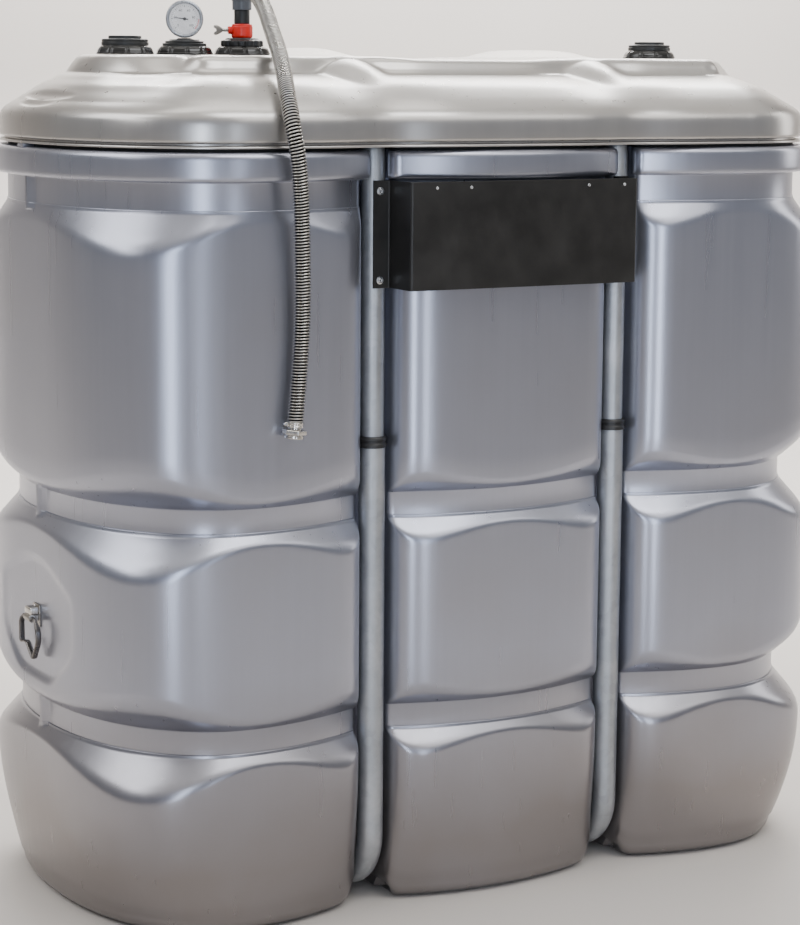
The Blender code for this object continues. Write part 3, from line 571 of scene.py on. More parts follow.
def build_quadrant():
    lm, ls, le = lobe_curves()
    nm, ns, ne = neck_curves()
    dense_side = np.concatenate([resample(ns, 2500), resample(ne, 3500)[1:]])
    dense_mid = resample(nm, 2500)
    lobes_m = resample(lm, 34)
    necks_m = smooth_run(nearest(lobes_m, dense_mid), 3)
    necks_m[0] = (0.0, dense_mid[0][1])
    lobes_s = np.concatenate([resample(ls, 34)[:-1], resample(le, 62)])
    necks_s = smooth_run(nearest(lobes_s, dense_side), 3)
    necks_s[-1] = (dense_side[-1][0], 0.0)
    arc = np.radians(np.linspace(180, 360, 17)[1:-1])
    groove = np.column_stack([HOOP_X + GROOVE_R * np.cos(arc), HOOP_Y + GROOVE_R * np.sin(arc)])
    neck = np.concatenate([necks_m, groove, necks_s])
    lobe = np.concatenate([lobes_m, groove, lobes_s])
    flag = np.array([0] * len(necks_m) + [1] * len(groove) + [0] * len(necks_s))
    # distance along the neck from the nearest lip drives the ends of the ring
    share = np.zeros(len(neck))
    dm = np.concatenate([[0], np.cumsum(np.linalg.norm(np.diff(necks_m[::-1], axis=0), axis=1))])[::-1]
    dsid = np.concatenate([[0], np.cumsum(np.linalg.norm(np.diff(necks_s, axis=0), axis=1))])
    run = np.concatenate([dm, np.zeros(len(groove)), dsid])
    t = (run / 0.016).clip(0, 1)
    share = np.where(flag == 1, 0.0, np.sqrt((1 - (1 - t) ** 2).clip(0)))
    return neck, lobe, share, flag, np.where(flag == 1, 0.0, run)


def round_pairs(q):
    front = q * (1, -1)
    back = q.copy()
    return np.concatenate([front, back[-2::-1], back[1:] * (-1, 1), (front * (-1, 1))[-2:0:-1]])


def round_values(q):
    return np.concatenate([q, q[-2::-1], q[1:], q[-2:0:-1]])


QN, QL, QS, QF, QR = build_quadrant()
NECK, LOBE = round_pairs(QN), round_pairs(QL)
SHARE, GROOVE = round_values(QS), round_values(QF) > 0.5
RUN = round_values(QR)
COUNT, HALF = len(NECK), len(QN)


def outward(plan, skip=None):
    n = len(plan)
    good = np.arange(n) if skip is None else np.where(~skip)[0]
    out = np.zeros_like(plan)
    for k, i in enumerate(good):
        a, b = plan[good[k - 1]], plan[good[(k + 1) % len(good)]]
        t = b - a
        v = np.array((t[1], -t[0]))
        out[i] = v / np.linalg.norm(v)
    if skip is not None:
        for i in np.where(skip)[0]:
            out[i] = (0.0, math.copysign(1.0, plan[i][1]))
    return out


NORMAL = outward(NECK, GROOVE)
DELTA = np.linalg.norm(LOBE - NECK, axis=1)
REACH = np.einsum("ij,ij->i", LOBE - NECK, NORMAL)
BAND = np.minimum(UPPER_NECK * SHARE, (REACH - 0.0035).clip(0))


def columns(count, half):
    left = [(count - i, count // 2 + i) for i in range(half - 1, 0, -1)]
    right_side = [(i, count // 2 - i) for i in range(half)]
    return [(a % count, b % count) for a, b in left + right_side]


def deck(verts, faces, ring, base, count, half, across, height=None):
    """Strips that close a ring of the grid from its front to its back."""
    verts = list(verts)
    lines = []
    for front, back in columns(count, half):
        if front == back:
            lines.append([base + front])
            continue
        a, b = ring[front], ring[back]
        line = [base + front]
        for k in range(1, across):
            co = a + (b - a) * (k / across)
            if height is not None:
                co = np.array([co[0], co[1], height(co[0], co[1], co[2])])
            verts.append(co)
            line.append(len(verts) - 1)
        line.append(base + back)
        lines.append(line)
    for one, two in zip(lines, lines[1:]):
        if len(one) == 1:
            faces.extend((one[0], two[k], two[k + 1]) for k in range(len(two) - 1))
        elif len(two) == 1:
            faces.extend((two[0], one[k + 1], one[k]) for k in range(len(one) - 1))
        else:
            faces.extend((one[k], two[k], two[k + 1], one[k + 1]) for k in range(len(one) - 1))
    return np.array(verts), faces


# ------------------------------------------------------------------- shell
def soft_step(t, start, end):
    """Grows as t up to start, then eases to 1 at end = 2 - start."""
    return np.where(t < start, t, np.where(t < end, t - (t - start) ** 2 / (2 * (end - start)), 1.0))


def ring_row(plan, z):
    return np.column_stack([plan, np.broadcast_to(z, (COUNT,))])


PANEL = ((0.055, 0.692), (0.198, 0.634), (0.198, 0.516), (0.092, 0.441))
PANEL_MID = 0.562


def panel_planes():
    half = list(PANEL)
    loop = half + [(-y, z) for y, z in half[::-1]]
    out = []
    for (y0, z0), (y1, z1) in zip(loop, loop[1:] + loop[:1]):
        n = np.array((z0 - z1, y1 - y0))
        n /= np.linalg.norm(n)
        c = n @ np.array((y0, z0 - PANEL_MID))
        if c < 0:
            n, c = -n, -c
        out.append((n[0], n[1], c))
    return out


PLANES = panel_planes()


def end_shape(p):
    """Recess and parting rib on the two ends."""
    out = p.copy()
    x, y, z = np.abs(p[:, 0]), p[:, 1], p[:, 2]
    sx = np.sign(p[:, 0])
    # parting rib that bridges the necks
    reach = np.where(z > 1.36, 0.8395, 0.8268)
    rib = reach - 0.0060 * (np.abs(y) / 0.0105) ** 8
    near = (np.abs(y) < 0.0130) & (x > 0.79) & (z > 0.10) & (z < RING_LOW + 0.004)
    x = np.where(near, np.maximum(x, rib.clip(0.80)), x)
    # recess with rounded corners and a soft edge
    r = np.zeros(len(y))
    for a, b, c in PLANES:
        r += ((a * y + b * (z - PANEL_MID)) / c).clip(0) ** 16
    r = r ** (1 / 16)
    edge = ((1.0 - r) * 0.150 / 0.020).clip(0, 1)
    ease = edge * edge * (3 - 2 * edge)
    inside = (x > 0.80) & (r < 1.0)
    x = np.where(inside, x + (np.minimum(PANEL_X, x) - x) * ease, x)
    out[:, 0] = np.where(np.abs(p[:, 0]) > 0.79, sx * x, p[:, 0])
    return out


def shell_rows():
    swell = LOBE - NECK
    foot = NECK + FOOT_SWELL * swell
    unit = np.where(DELTA[:, None] > 1e-6, swell / np.maximum(DELTA, 1e-6)[:, None], 0.0)
    step = 0.0032 * (DELTA / 0.010).clip(0, 1)
    start = NECK + unit * step[:, None]
    rows = []
    side = np.abs(np.abs(NECK[:, 0]) - HOOP_X).clip(0, GROOVE_R)
    for angle in np.linspace(90, 0, 9):
        a = math.radians(angle)
        radius = np.where(GROOVE, FOOT_BEND - GROOVE_R + 0.003, FOOT_R)
        near = (1.0 - RUN / 0.034).clip(0, 1)
        corner = 0.034 * (1.0 - np.sqrt((1.0 - near**2).clip(0)))
        base = np.where(GROOVE, CHANNEL_TOP - side**2 / (2 * GROOVE_R), corner)
        rows.append(ring_row(foot - NORMAL * (radius * (1 - math.cos(a)))[:, None], base + radius * (1 - math.sin(a))))
    foot_top = rows[-1][:, 2]

    drop = SHOULDER * DELTA
    rise = BELLY * DELTA
    top_t = (1.34, 1.22, 1.12, 1.02, 0.92, 0.82, 0.70, 0.56, 0.42, 0.28, 0.16, 0.07, 0.0)
    low_t = (0.0, 0.08, 0.18, 0.30, 0.45, 0.60, 0.74, 0.88, 1.02, 1.18, 1.36)
    for tier, top in enumerate(CREASE):
        low = UNDER[tier]
        last = None
        if low is None:
            # tapered foot: the swell fades towards the floor
            high = top - 0.006 - top_t[0] * drop - 0.004
            for f in np.linspace(0.04, 0.96, 14):
                z = foot_top + (high - foot_top) * f
                w = FOOT_SWELL + (1 - FOOT_SWELL) * np.sin(np.pi / 2 * f) ** 0.85
                rows.append(ring_row(start + w * (LOBE - start), z))
        else:
            for t in low_t:
                w = soft_step(np.array(t), 0.55, 1.45)
                if t < 0.18:
                    w = w * (0.25 + 0.75 * t / 0.18)
                z = low + t * rise * 1.0 + 0.010 * max(0.0, t - 0.9)
                rows.append(ring_row(NECK + float(w) * swell, z))
            bottom = rows[-1][:, 2]
            high = top - 0.006 - top_t[0] * drop
            many = 46 if tier == 1 else 12
            for f in np.linspace(0, 1, many + 2)[1:-1]:
                rows.append(ring_row(LOBE, bottom + (high - bottom) * f))
        neck = NECK if tier < 2 else NECK + NORMAL * BAND[:, None]
        lift = start if tier < 2 else neck + (start - NECK) * 0.6
        for t in top_t:
            w = float(soft_step(np.array(t), 0.66, 1.34))
            rows.append(ring_row(lift + w * (LOBE - lift), top - 0.0058 - t * drop))
        for a in (0, 25, 50, 70, 90):
            c, s = math.cos(math.radians(a)), math.sin(math.radians(a))
            rows.append(ring_row(neck + (lift - neck) * c, top - 0.0020 + 0.0016 * s))
        rows.append(ring_row(neck, top + 0.0006))
        rows.append(ring_row(neck, top + 0.006))
    upper = NECK + NORMAL * BAND[:, None]
    rows.append(ring_row(upper, RING_LOW - 0.003))
    rows.append(ring_row(upper + NORMAL * (0.0006 * SHARE)[:, None], RING_LOW))
    ring = [(0.0150, RING_LOW + 0.0006), (0.0270, RING_LOW + 0.0012), (0.0345, RING_LOW + 0.0020),
            (0.0380, RING_LOW + 0.0042), (0.0395, RING_LOW + 0.0080), (0.0400, RING_LOW + 0.0130),
            (0.0400, RING_TOP - 0.0150), (0.0396, RING_TOP - 0.0100), (0.0382, RING_TOP - 0.0058),
            (0.0355, RING_TOP - 0.0026), (0.0320, RING_TOP - 0.0008), (0.0280, RING_TOP), (0.0150, RING_TOP)]
    for off, z in ring:
        rows.append(ring_row(NECK + NORMAL * (off * SHARE)[:, None], z))
    rows.append(ring_row(NECK - NORMAL * 0.003, RING_TOP))
    rows.append(ring_row(NECK - NORMAL * 0.003, SPIGOT_TOP - 0.0004))
    inner = NECK - NORMAL * WALL
    rows.append(ring_row(inner, SPIGOT_TOP - 0.0004))
    rows.append(ring_row(inner, np.where(GROOVE, 0.150, 0.075)))
    floor_plan = foot - NORMAL * np.where(GROOVE, FOOT_BEND - GROOVE_R + 0.018, 0.052)[:, None]
    rows.append(ring_row(floor_plan, np.where(GROOVE, CHANNEL_TOP + 0.014, 0.014)))
    return rows


def make_shell():
    rows = [end_shape(r) for r in shell_rows()]
    verts, faces = skin(rows)
    verts, faces = deck(verts, faces, rows[0], 0, COUNT, HALF, 6)
    verts, faces = deck(verts, faces, rows[-1], (len(rows) - 1) * COUNT, COUNT, HALF, 4)
    return ride(finish_mesh("tank_shell", verts, faces, M["shell"], 50), ["outer_tank"])


# ------------------------------------------------------------------- lid
LID_SIDE = ((0.0130, 1.4838), (0.0240, 1.4839), (0.0268, 1.4846), (0.0272, 1.4862), (0.0268, 1.4880),
            (0.0250, 1.4890), (0.0160, 1.4897), (0.0140, 1.4905), (0.0140, 1.4925), (0.0160, 1.4935),
            (0.0245, 1.4942), (0.0272, 1.4958), (0.0280, 1.4985))
LID_CURVE = ((0.0280, 1.4985), (0.0280, 1.5120), (0.0268, 1.5300), (0.0235, 1.5420), (0.0160, 1.5525),
             (0.0040, 1.5625), (-0.0120, 1.5735), (-0.0300, 1.5840), (-0.0500, 1.5945), (-0.0740, 1.6045),
             (-0.0980, 1.6120), (-0.1200, 1.6168), (-0.1320, 1.6205), (-0.1385, 1.6270), (-0.1430, 1.6350),
             (-0.1470, 1.6420), (-0.1530, 1.6475), (-0.1600, 1.6505), (-0.1680, 1.6518))


def lid_plan():
    x = np.linspace(0, 0.54, 78)
    y = 0.4035 - 0.0205 * np.exp(-((x - HOOP_X) / 0.085) ** 2)
    end = resample(superellipse(0.54, 0.275, 0.404, 2.2), 56)[1:]
    q = np.concatenate([np.column_stack([x, y]), end])
    q[-1, 1] = 0.0
    return q


LQ = lid_plan()
LID = round_pairs(LQ)
LID_N = outward(LID)
LID_HALF, LID_COUNT = len(LQ), len(LID)


def smooth_max(a, b, k):
    h = max(k - abs(a - b), 0.0) / k
    return max(a, b) + h * h * k * 0.25


def inset_share(off):
    power = 3.0 + 7.0 * min(max((-off - 0.05) / 0.08, 0.0), 1.0)
    return 1.0 - 0.40 * np.abs(LID_N[:, 0]) ** power


def lid_height(x, y, z):
    ay, ax = abs(y), abs(x)
    if ay < 0.40 and 0.12 < ax < 0.43 and z > 1.56:
        crest = 1.6680 - 0.0710 * (ay / 0.320) ** 4
        s = min(max((ay - 0.09) / 0.17, 0.0), 1.0)
        s = s * s * (3 - 2 * s)
        ridge = crest - (14.0 - 10.5 * s) * (ax - HOOP_X) ** 2
        z = smooth_max(z, ridge, 0.004 + 0.004 * s)
    if ax < 0.20 and z > 1.640:
        z -= 0.0040 * (z - 1.640) / 0.012 * min(1.0, (0.20 - ax) / 0.08)
    if ax > 0.60:
        for z0, reach, low, high, deep in ((1.5740, 0.122, 0.0062, 0.0085, 0.0062), (1.5600, 0.082, 0.0045, 0.0048, 0.0050)):
            leaf = max(0.0, 1 - ((ay - 0.0) / reach) ** 2)
            if leaf > 0:
                d = z - z0
                side = high if d > 0 else low
                z -= deep * leaf * math.exp(-((d / (side * (0.35 + 0.65 * leaf))) ** 4))
    return z


# the end domes fall away more at the four corners: further inset per curve point
LID_CORNER = (0, 0, 0, 0, 0.003, 0.008, 0.015, 0.022, 0.027, 0.032, 0.029, 0.024, 0.017, 0.015, 0.0175, 0.021,
              0.0235, 0.028, 0.029)


def make_lid():
    curve = np.array(LID_CURVE)
    fine, _ = spline(np.column_stack([curve, LID_CORNER]), 84)
    profile = [(a, b, 0.0) for a, b in LID_SIDE] + [tuple(f) for f in fine[1:]]
    weight = np.exp(-((np.abs(LID_N[:, 0]) - 0.85) / 0.20) ** 2)
    brow = np.exp(-((np.abs(LID_N[:, 0]) - 0.87) / 0.10) ** 2)
    rows = []
    inside = ((-0.030, 1.4838), (-0.030, 1.5300), (-0.046, 1.5740), (-0.100, 1.6010), (-0.150, 1.6080),
              (-0.168, 1.6400))

    def row(off, z, shaped=True, corner=0.0):
        move = off * (inset_share(off) if off < 0 else np.ones(LID_COUNT)) - corner * weight
        move = move - 0.020 * min(max((z - 1.618) / 0.034, 0.0), 1.0) * brow
        plan = LID + LID_N * move[:, None]
        if shaped:
            z = np.array([lid_height(a, b, z) for a, b in plan])
        else:
            z = np.full(LID_COUNT, z)
        return np.column_stack([plan, z])

    clear = np.abs(np.abs(LID[:, 0]) - HOOP_X) < 0.045
    for k, (off, z) in enumerate(inside[::-1]):
        r = row(off, z, False, float(np.interp(z, curve[:, 1], LID_CORNER)))
        if k >= 4:
            r[:, :2] = np.where(clear[:, None], LID - LID_N * 0.006, r[:, :2])
        rows.append(r)
    for off, z, corner in profile:
        rows.append(row(off, z, True, corner))
    verts, faces = skin(rows)
    verts, faces = deck(verts, faces, rows[-1], (len(rows) - 1) * LID_COUNT, LID_COUNT, LID_HALF, 30,
                        lambda a, b, c: lid_height(a, b, 1.6518))
    verts, faces = deck(verts, faces, rows[0], 0, LID_COUNT, LID_HALF, 4)
    ride(finish_mesh("tank_lid", verts, faces, M["lid"], 60), ["lid"])
    # near-black band in the gap between lid and ring: painted shadow of the gap
    band = []
    for off, z in ((-0.0030, 1.4782), (0.0100, 1.4782), (0.0110, 1.4787), (0.0110, 1.4829), (0.0100, 1.4834),
                   (-0.0030, 1.4834)):
        band.append(ring_row(NECK + NORMAL * (off * np.where(SHARE > 0.02, SHARE, 0.0) if off > 0 else off)[:, None]
                             if off > 0 else NECK + NORMAL * off, z))
    verts, faces = skin(band + [band[0]])
    ride(finish_mesh("rim_gap_shadow", verts, faces, M["gap_shadow"], 50))
    for word, side in (("left", -1), ("right", 1)):
        low, high = sorted((side * 0.822, side * 0.8480))
        ride(box("rim_web_" + word, (low, -0.015, 1.4776), (high, 0.015, 1.4836), M["shell"], 0.0007))


# ------------------------------------------------------------------- hoops
def bend_points(centre, radius, start, end, count):
    return [(centre[0] + radius * math.cos(a), centre[1] + radius * math.sin(a))
            for a in np.radians(np.linspace(start, end, count))]


def make_hoops():
    for side, word in ((-1, "left"), (1, "right")):
        x = side * HOOP_X
        y, z = HOOP_Y - TOP_BEND, TOP_RUN - TOP_BEND
        start = JOINT_Z + GAP
        path = ([(-HOOP_Y, s) for s in np.linspace(start, z - 0.01, 12)]
                + bend_points((-y, z), TOP_BEND, 180, 90, 18)
                + bend_points((y, z), TOP_BEND, 90, 0, 18)
                + [(HOOP_Y, s) for s in np.linspace(z - 0.01, start, 12)])
        verts, faces = sweep([(x, a, b) for a, b in path], UPPER_R, 36)
        ride(finish_mesh("hoop_upper_" + word, verts, faces, M["zinc"], 50), [f"upper_hoop_{word}"])
        y, z = HOOP_Y - FOOT_BEND, FOOT_RUN + FOOT_BEND
        path = ([(-HOOP_Y, s) for s in np.linspace(JOINT_Z, z + 0.01, 12)]
                + bend_points((-y, z), FOOT_BEND, 180, 270, 18)
                + bend_points((y, z), FOOT_BEND, 270, 360, 18)
                + [(HOOP_Y, s) for s in np.linspace(z + 0.01, JOINT_Z, 12)])
        pts = [(x, a, b) for a, b in path]
        radii = np.full(len(pts), LOWER_R)
        verts, faces = sweep(pts, radii, 36)
        ride(finish_mesh("hoop_lower_" + word, verts, faces, M["zinc"], 50), [f"lower_hoop_{word}"])
        for back, place_word in ((-1, "front"), (1, "back")):
            make_collar(f"{place_word}_clip_{word}", (x, back * HOOP_Y), back,
                        f"{place_word}_collar_{word}")


def make_collar(name, at, back, node):
    low = JOINT_Z + GAP
    inner = UPPER_R + GAP + 0.0002
    prof = [(inner, 0.0), (0.0275, 0.0), (0.0285, 0.0010), (0.0285, 0.0068), (0.0272, 0.0082), (0.0268, 0.0128),
            (0.0284, 0.0142), (0.0284, 0.0178), (0.0262, 0.0205), (0.0250, 0.0218), (inner, 0.0218), (inner, 0.0)]
    steps = 48
    ang = np.linspace(0, 2 * math.pi, steps, endpoint=False)
    rows = [np.column_stack([at[0] + r * np.cos(ang), at[1] + r * np.sin(ang), np.full(steps, low + h)])
            for r, h in prof]
    verts, faces = skin(rows)
    return ride(finish_mesh(name, verts, faces, M["clip"], 40), [node])


# ------------------------------------------------------------- sheet cover
def make_cover():
    pipe = HOOP_Y + UPPER_R + GAP
    t = COVER_T
    path = [(-FLANGE_X, -(pipe + t / 2)), (-COVER_X + t / 2, -(pipe + t / 2)), (-COVER_X + t / 2, -(COVER_Y - t / 2)),
            (COVER_X - t / 2, -(COVER_Y - t / 2)), (COVER_X - t / 2, -(pipe + t / 2)), (FLANGE_X, -(pipe + t / 2))]
    line = np.array(rounded(path, 0.0045, 6))
    tang = np.gradient(line, axis=0)
    tang /= np.linalg.norm(tang, axis=1)[:, None]
    nrm = np.column_stack([tang[:, 1], -tang[:, 0]])
    loop = np.concatenate([line + nrm * t / 2, (line - nrm * t / 2)[::-1]])
    rows = []
    c = 0.0004
    centre = np.concatenate([line, line[::-1]])
    for inset, z in ((c, COVER_LOW), (0, COVER_LOW + c), (0, COVER_HIGH - c), (c, COVER_HIGH)):
        plan = loop + (centre - loop) / (t / 2) * inset
        rows.append(np.column_stack([plan, np.full(len(plan), z)]))
    verts, faces = skin(rows)
    n = len(line)
    for k, base in ((0, 0), (1, 3 * 2 * n)):
        for i in range(n - 1):
            quad = (base + i, base + i + 1, base + 2 * n - 2 - i, base + 2 * n - 1 - i)
            faces.append(quad if k else quad[::-1])
    ride(finish_mesh("cover_sheet", verts, faces, M["cover"], 35), ["sheet_cover"])
    y = -(pipe + t)
    for k, (x, z) in enumerate(((-0.2735, 1.4010), (-0.2735, 1.2330), (0.2735, 1.4010), (0.2735, 1.2330))):
        screw_head(f"cover_screw_{k + 1}", (x, y, z), (0, -1, 0), 0.0050, 0.0030, M["screw"], 0.0075)
    for k, x in enumerate((-0.198, -0.124, 0.140, 0.222)):
        screw_head(f"cover_rivet_{k + 1}", (x, -COVER_Y, 1.4095), (0, -1, 0), 0.0032, 0.0018, M["screw"])


# ----------------------------------------------------------- neck fittings
def lugged(count, depth, sharpness=3.0, low=0.0, high=1.0):
    def shape(angle, h, r):
        if not low <= h <= high:
            return 1.0
        wave = 0.5 + 0.5 * math.cos(count * angle)
        return 1.0 - depth * (1 - wave ** (1 / sharpness))
    return shape


def lobed(count, width, depth, low, high, flat=0.7):
    """Broad flat lobes with narrow gaps between them."""
    def shape(angle, h, r):
        if not low <= h <= high:
            return 1.0
        phase = (angle * count / (2 * math.pi)) % 1.0 - 0.5
        facet = math.cos(math.pi / count) / math.cos(2 * math.pi * phase / count)
        cut = depth * math.exp(-(((0.5 - abs(phase)) / width) ** 2))
        return (1 - flat) + flat * facet / math.cos(math.pi / count) * 0.985 - cut
    return shape


def make_necks():
    top = LID_TOP + GAP
    for k, x in enumerate(NECKS, 1):
        prof = [(0, 0), (0.0545, 0), (0.0556, 0.0010), (0.0556, 0.0030), (0.0545, 0.0042), (0.0535, 0.0075),
                (0.0518, 0.0110), (0.0494, 0.0140), (0.0470, 0.0152), (0.0462, NUT_H), (0, NUT_H)]
        ride(lathe(f"union_nut_{k}", prof, M["gloss"], (x, 0, top), steps=240, fillet=0.0010,
                   shape=lobed(10, 0.075, 0.060, 0.0020, 0.0146), spin=0.0, sharp=50),
             [f"neck_nut_{k}"])
    above = top + NUT_H + GAP
    for word, x in (("left", NECKS[0]), ("right", NECKS[3])):
        prof = [(0, 0), (0.0448, 0), (0.0455, 0.0008), (0.0455, 0.0060), (0.0440, 0.0066), (0.0440, 0.0078),
                (0.0448, 0.0084), (0.0448, 0.0108), (0.0425, 0.0124), (0.0335, 0.0128), (0.0318, 0.0132),
                (0.0318, 0.0176), (0.0308, 0.0185), (0.0270, 0.0185), (0.0262, 0.0168), (0.0, 0.0168)]
        ride(lathe(f"screw_plug_{word}", prof, M["matt"], (x, 0, above), steps=120, fillet=0.0005,
                   shape=lugged(16, 0.016, 4.0, 0.0004, 0.0112)), [f"plug_{word}"])
    make_gauge(above)
    make_suction(above)


def make_gauge(above):
    x = NECKS[1]
    prof = [(0, 0), (0.0430, 0), (0.0430, 0.0048), (0.0375, 0.0056), (0.0370, 0.0066), (0.0380, 0.0070),
            (0.0380, 0.0092), (0.0300, 0.0102), (0.0292, 0.0110), (0.0292, 0.0123), (0.0180, 0.0130),
            (0.0160, 0.0134), (0.0135, 0.0146), (0.0130, 0.0151), (0, 0.0151)]
    ride(lathe("gauge_seat", prof, M["matt"], (x, 0, above), steps=96, fillet=0.0006,
               shape=lugged(36, 0.012, 2.0, 0.0005, 0.0045)), ["gauge_adapter"])
    centre = Vector((x, 0.0, 1.7210))
    face = Vector((-0.36, -0.93, 0.0)).normalized()
    r = 0.0365
    back = centre - face * 0.013
    prof = [(0, 0), (r - 0.0060, 0), (r - 0.0020, 0.0014), (r - 0.0010, 0.0045), (r - 0.0010, 0.0185),
            (r - 0.0002, 0.0196), (r, 0.0205), (r, 0.0245), (r - 0.0010, 0.0262), (r - 0.0030, 0.0272),
            (r - 0.0052, 0.0266), (r - 0.0066, 0.0252), (r - 0.0068, 0.0236), (0, 0.0236)]
    ride(lathe("gauge_housing", prof, M["bezel"], back, face, steps=96, fillet=0.0006), ["gauge_case"])
    up = Vector((0, 0, 1))
    across = up.cross(face).normalized()      # to the reader's right

    def flat(name, outlines, lift, mat, thick=0.00012):
        verts, faces = [], []
        for loop in outlines:
            n = len(loop)
            a = len(verts)
            for level in (lift, lift + thick):
                for u, v in loop:
                    verts.append(tuple(back + face * (0.0236 + level) + across * u + up * v))
            faces.append(tuple(range(a + n - 1, a - 1, -1)))
            faces.append(tuple(range(a + n, a + 2 * n)))
            for i in range(n):
                j = (i + 1) % n
                faces.append((a + i, a + j, a + n + j, a + n + i))
        return ride(finish_mesh(name, verts, faces, mat, 30))

    disc = [(0.0296 * math.cos(a), 0.0296 * math.sin(a)) for a in np.linspace(0, 2 * math.pi, 72, endpoint=False)]
    flat("gauge_dial", [disc], 0.0, M["white"], 0.0003)

    def bar(angle, r0, r1, w):
        d = np.array((math.cos(angle), math.sin(angle)))
        s = np.array((-d[1], d[0])) * w / 2
        return [tuple(d * r0 - s), tuple(d * r1 - s), tuple(d * r1 + s), tuple(d * r0 + s)]

    ticks = []
    for k in range(31):
        a = math.radians(225 - 270 * k / 30)
        ticks.append(bar(a, 0.0228 if k % 5 == 0 else 0.0240, 0.0262, 0.0010 if k % 5 == 0 else 0.0005))
    flat("gauge_ticks", ticks, 0.00032, M["ink"])
    flat("gauge_zone", [bar(math.radians(a), 0.0268, 0.0282, 0.0016) for a in range(-42, 2, 4)], 0.00032, M["red"])
    needle = math.radians(172)
    d = np.array((math.cos(needle), math.sin(needle)))
    s = np.array((-d[1], d[0]))
    flat("gauge_needle", [[tuple(d * -0.007 - s * 0.0010), tuple(d * 0.0 - s * 0.0014), tuple(d * 0.0225),
                           tuple(d * 0.0 + s * 0.0014), tuple(d * -0.007 + s * 0.0010)],
                          [(0.0032 * math.cos(a), 0.0032 * math.sin(a)) for a in np.linspace(0, 2 * math.pi, 20, endpoint=False)]],
         0.0006, M["ink"], 0.0005)
    verts, faces = [], []
    dep = bpy.context.evaluated_depsgraph_get()
    for k, text in enumerate(("0", "20", "40", "60", "80", "100")):
        curve = bpy.data.curves.new("n" + text, "FONT")
        curve.body = text
        curve.size = 0.0066
        curve.align_x, curve.align_y = "CENTER", "CENTER"
        curve.resolution_u = 3
        tmp = bpy.data.objects.new("tmp_text", curve)
        bpy.context.scene.collection.objects.link(tmp)
        bpy.context.view_layer.update()
        mesh = bpy.data.meshes.new_from_object(tmp.evaluated_get(bpy.context.evaluated_depsgraph_get()))
        a = math.radians(225 - 270 * k / 5)
        cu, cv = 0.0178 * math.cos(a), 0.0178 * math.sin(a)
        base = len(verts)
        for v in mesh.vertices:
            verts.append(tuple(back + face * (0.0236 + 0.00036) + across * (cu + v.co.x) + up * (cv + v.co.y)))
        for p in mesh.polygons:
            faces.append(tuple(base + i for i in p.vertices))
        bpy.data.objects.remove(tmp, do_unlink=True)
        bpy.data.curves.remove(curve)
        bpy.data.meshes.remove(mesh)
    mesh = bpy.data.meshes.new("gauge_numbers")
    mesh.from_pydata(verts, [], faces)
    obj = bpy.data.objects.new("gauge_numbers", mesh)
    obj.data.materials.append(M["ink"])
    bpy.context.scene.collection.objects.link(obj)
    ride(obj)
    r2 = r - 0.0070
    prof = [(0, 0), (r2, 0), (r2, 0.0012), (r2 * 0.8, 0.0018), (r2 * 0.4, 0.0024), (0, 0.0026)]
    ride(lathe("gauge_lens", prof, M["glass"], back + face * (0.0236 + 0.0014), face, steps=72, fillet=0),
         ["gauge_glass"])


